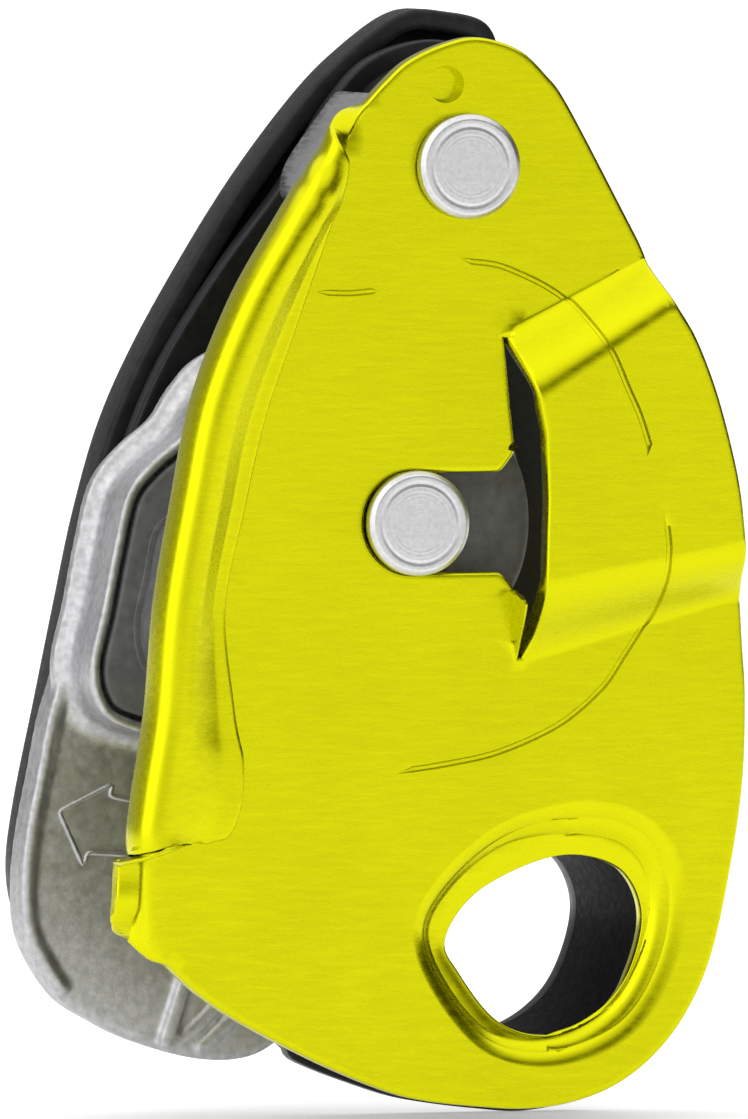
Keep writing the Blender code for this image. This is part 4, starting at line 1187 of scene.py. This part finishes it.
def pawl_pieces():
    """The anti-panic pawl with its pin and spring."""
    front, back = depths("pawl_pin")
    pin = [(0, front), (1.3, front), (1.3, back), (0, back)]
    settle(turned("pawl_axle", PAWL_AXIS, pin, 0.2), "handle", "polished_steel", TURNED, "pawl_pin")
    head = [tuple(p) for p in arc(PAWL_AXIS, 3.2, 60, 300, 24)]
    nose = [(-24.4, 20.4), (-21.4, 20.2), (-20.6, 21.8), (-21.6, 23.4), (-24.6, 26.0)]
    outline = evenly(eased(head + nose, 0.5), 0.3, True)
    settle(plate("pawl", outline, [circle(PAWL_AXIS, 1.6, 48)], *depths("anti_panic_pawl"), 0.3),
           "pawl", "cast_steel", CAST, "anti_panic_pawl")
    settle(spring("pawl_spring_wire", (-32.6, 32.4), 1.5, 0.6, *depths("pawl_spring"), 4),
           "handle", "spring_steel", SPRING_STEEL, "pawl_spring")


def knob_pieces():
    """The mode selector, with a fluted edge and a raised pointer, and the screw that holds it."""
    r, back = KNOB_RADIUS, KNOB_BACK
    profile = [(2.2, KNOB_FRONT), (r - 0.2, KNOB_FRONT), (r, KNOB_FRONT + 0.3), (r, back - 0.5),
               (r - 0.5, back), (4.2, back), (4.2, back - 1.6), (2.2, back - 1.6)]
    body = turned_mesh(AXLE, [tuple(p) for p in eased(profile, 0.15, True)], 240, flutes=30, flute_depth=0.3)
    x, z = AXLE
    pointer = eased([(x - 1.4, z + 4.6), (x + 1.4, z + 4.6), (x + 0.8, z + 8.8), (x - 0.8, z + 8.8)], 0.4)
    grip = plate_mesh(evenly(pointer, 0.3, True), [], back - 1, depths("selector_knob")[1], 0.3)
    settle(finish("mode_knob", *joined([body, grip])),
           "selector", "black_nylon", BLACK_NYLON, "selector_knob")
    socket_screw("knob_screw_head", AXLE, 3.6, 1.6, depths("knob_screw")[0], back - 1.3, back - 0.1,
                 "selector", "knob_screw")


# ---------------------------------------------------------------- studio

# The brightness of the studio's walls by direction: degrees from the front, positive to the right.
WALLS = [(-180, 0.35), (-150, 0.4), (-120, 0.4), (-94, 0.5), (-82, 1.95), (-50, 1.95), (-28, 0.95),
         (0, 0.8), (32, 0.8), (42, 0.45), (52, 0.03), (122, 0.03), (142, 0.3), (180, 0.35)]
# A dark card above the front wall: how strong it is by direction, and where it starts and ends upwards.
CARD = [(-180, 0), (-30, 0), (-5, 1), (45, 1), (60, 0), (180, 0)]
CARD_HEIGHT = (0.12, 0.22, 0.38, 0.5)
CARD_TONE = 0.1
CEILING = 1.45
CEILING_HEIGHT = (0.5, 0.75)
FLOOR_HALF = 14.0
FLOOR_GLOW = 0.35
# The camera: metres from the spot it looks at, degrees round and up, and how many millimetres the
# picture takes in at that spot.
CAMERA_DISTANCE = 2.5
CAMERA_TURN = -17.0
CAMERA_RISE = 2.0
CAMERA_TARGET = (-16.56, -13.5, 34.86)
PICTURE_HEIGHT = 100.71
BRIGHTEST = 2.0
LAMP_SPOT = Vector((-0.7, -0.5, 0.9))
LAMP_SIZE = 0.5
LAMP_POWER = 0.7


def ramp(tree, stops, share, top=BRIGHTEST):
    """A colour ramp of brightness against direction."""
    node = tree.nodes.new("ShaderNodeValToRGB")
    elements = node.color_ramp.elements
    while len(elements) < len(stops):
        elements.new(0.5)
    for element, (angle, _) in zip(elements, stops):
        element.position = (angle + 180) / 360
    for element, (_, value) in zip(elements, stops):
        element.color = (value / top,) * 3 + (1,)
    tree.links.new(share.outputs["Result"], node.inputs["Fac"])
    return node


def climb(tree, parts, low, high):
    """Rises smoothly from 0 to 1 between two heights of the direction."""
    node = tree.nodes.new("ShaderNodeMapRange")
    node.interpolation_type = "SMOOTHSTEP"
    node.inputs["From Min"].default_value = low
    node.inputs["From Max"].default_value = high
    tree.links.new(parts.outputs["Z"], node.inputs["Value"])
    return node


def blend(tree, factor, colour, brightness):
    """Mixes a colour towards a grey of the given brightness."""
    node = tree.nodes.new("ShaderNodeMixRGB")
    node.inputs["Color2"].default_value = (brightness / BRIGHTEST,) * 3 + (1,)
    tree.links.new(factor, node.inputs["Fac"])
    tree.links.new(colour, node.inputs["Color1"])
    return node


def maths(tree, operation, first, second, clamp=False):
    """The output of a maths node on one output and a second one, or a number."""
    node = tree.nodes.new("ShaderNodeMath")
    node.operation = operation
    node.use_clamp = clamp
    tree.links.new(first, node.inputs[0])
    if isinstance(second, (int, float)):
        node.inputs[1].default_value = second
    else:
        tree.links.new(second, node.inputs[1])
    return node.outputs["Value"]


def dome():
    """A soft studio all round: a bright left, a dimmer front, a dark right side and a white ceiling."""
    world = bpy.data.worlds.new("studio")
    bpy.context.scene.world = world
    world.use_nodes = True
    tree = world.node_tree
    parts = tree.nodes.new("ShaderNodeSeparateXYZ")
    tree.links.new(tree.nodes.new("ShaderNodeTexCoord").outputs["Generated"], parts.inputs["Vector"])
    behind = maths(tree, "MULTIPLY", parts.outputs["Y"], -1)
    turn = maths(tree, "ARCTAN2", parts.outputs["X"], behind)
    share = tree.nodes.new("ShaderNodeMapRange")
    share.inputs["From Min"].default_value = -math.pi
    share.inputs["From Max"].default_value = math.pi
    tree.links.new(turn, share.inputs["Value"])
    walls = ramp(tree, WALLS, share)
    card = ramp(tree, CARD, share, 1.0)
    rising = climb(tree, parts, *CARD_HEIGHT[:2])
    falling = climb(tree, parts, *CARD_HEIGHT[2:])
    band = maths(tree, "SUBTRACT", rising.outputs["Result"], falling.outputs["Result"], True)
    shade = maths(tree, "MULTIPLY", band, card.outputs["Color"])
    darkened = blend(tree, shade, walls.outputs["Color"], CARD_TONE)
    overhead = climb(tree, parts, *CEILING_HEIGHT).outputs["Result"]
    mix = blend(tree, overhead, darkened.outputs["Color"], CEILING)
    sky = tree.nodes["Background"]
    sky.inputs["Strength"].default_value = BRIGHTEST
    tree.links.new(mix.outputs["Color"], sky.inputs["Color"])


def studio():
    """A pale floor, a soft lamp in a soft dome, and the camera."""
    low, high = cad_box
    floor = finish("floor", [(-1, -1, 0), (1, -1, 0), (1, 1, 0), (-1, 1, 0)], [[0, 1, 2, 3]])
    floor.scale = (FLOOR_HALF / MM, FLOOR_HALF / MM, 1)
    floor.location = (0, 0, low.z - 0.1 * MM)
    n = Nodes("floor_paper", 0.9, 0.0)
    n.colours(n.noise(2), (0.9, 0.9, 0.9), (0.92, 0.92, 0.92))
    n.shader.inputs["Emission Color"].default_value = (1, 1, 1, 1)
    n.shader.inputs["Emission Strength"].default_value = FLOOR_GLOW
    floor.data.materials.append(n.material)

    dome()
    lamp = bpy.data.lights.new("key", "AREA")
    lamp.size = LAMP_SIZE
    lamp.energy = LAMP_POWER
    item = bpy.data.objects.new("key", lamp)
    item.location = (low + high) / 2 + LAMP_SPOT
    item.rotation_euler = (-LAMP_SPOT).to_track_quat("-Z", "Y").to_euler()
    bpy.context.scene.collection.objects.link(item)

    view = bpy.data.cameras.new("camera")
    view.sensor_width = 36
    view.lens = view.sensor_width * CAMERA_DISTANCE / (PICTURE_HEIGHT * MM)
    view.clip_start, view.clip_end = 0.05, 100
    camera = bpy.data.objects.new("camera", view)
    turn, rise = math.radians(CAMERA_TURN), math.radians(CAMERA_RISE)
    back = Vector((math.sin(turn) * math.cos(rise), -math.cos(turn) * math.cos(rise), math.sin(rise)))
    camera.location = Vector(CAMERA_TARGET) * MM + back * CAMERA_DISTANCE
    camera.rotation_mode = "QUATERNION"
    camera.rotation_quaternion = (-back).to_track_quat("-Z", "Y")
    bpy.context.scene.collection.objects.link(camera)
    bpy.context.scene.camera = camera
    bpy.context.scene.view_settings.view_transform = "Standard"


studio()
moving_plate()
frame_pieces()
turned_pieces()
cam()
cam_relief()
cam_front_cap()
handle()
pawl_pieces()
knob_pieces()
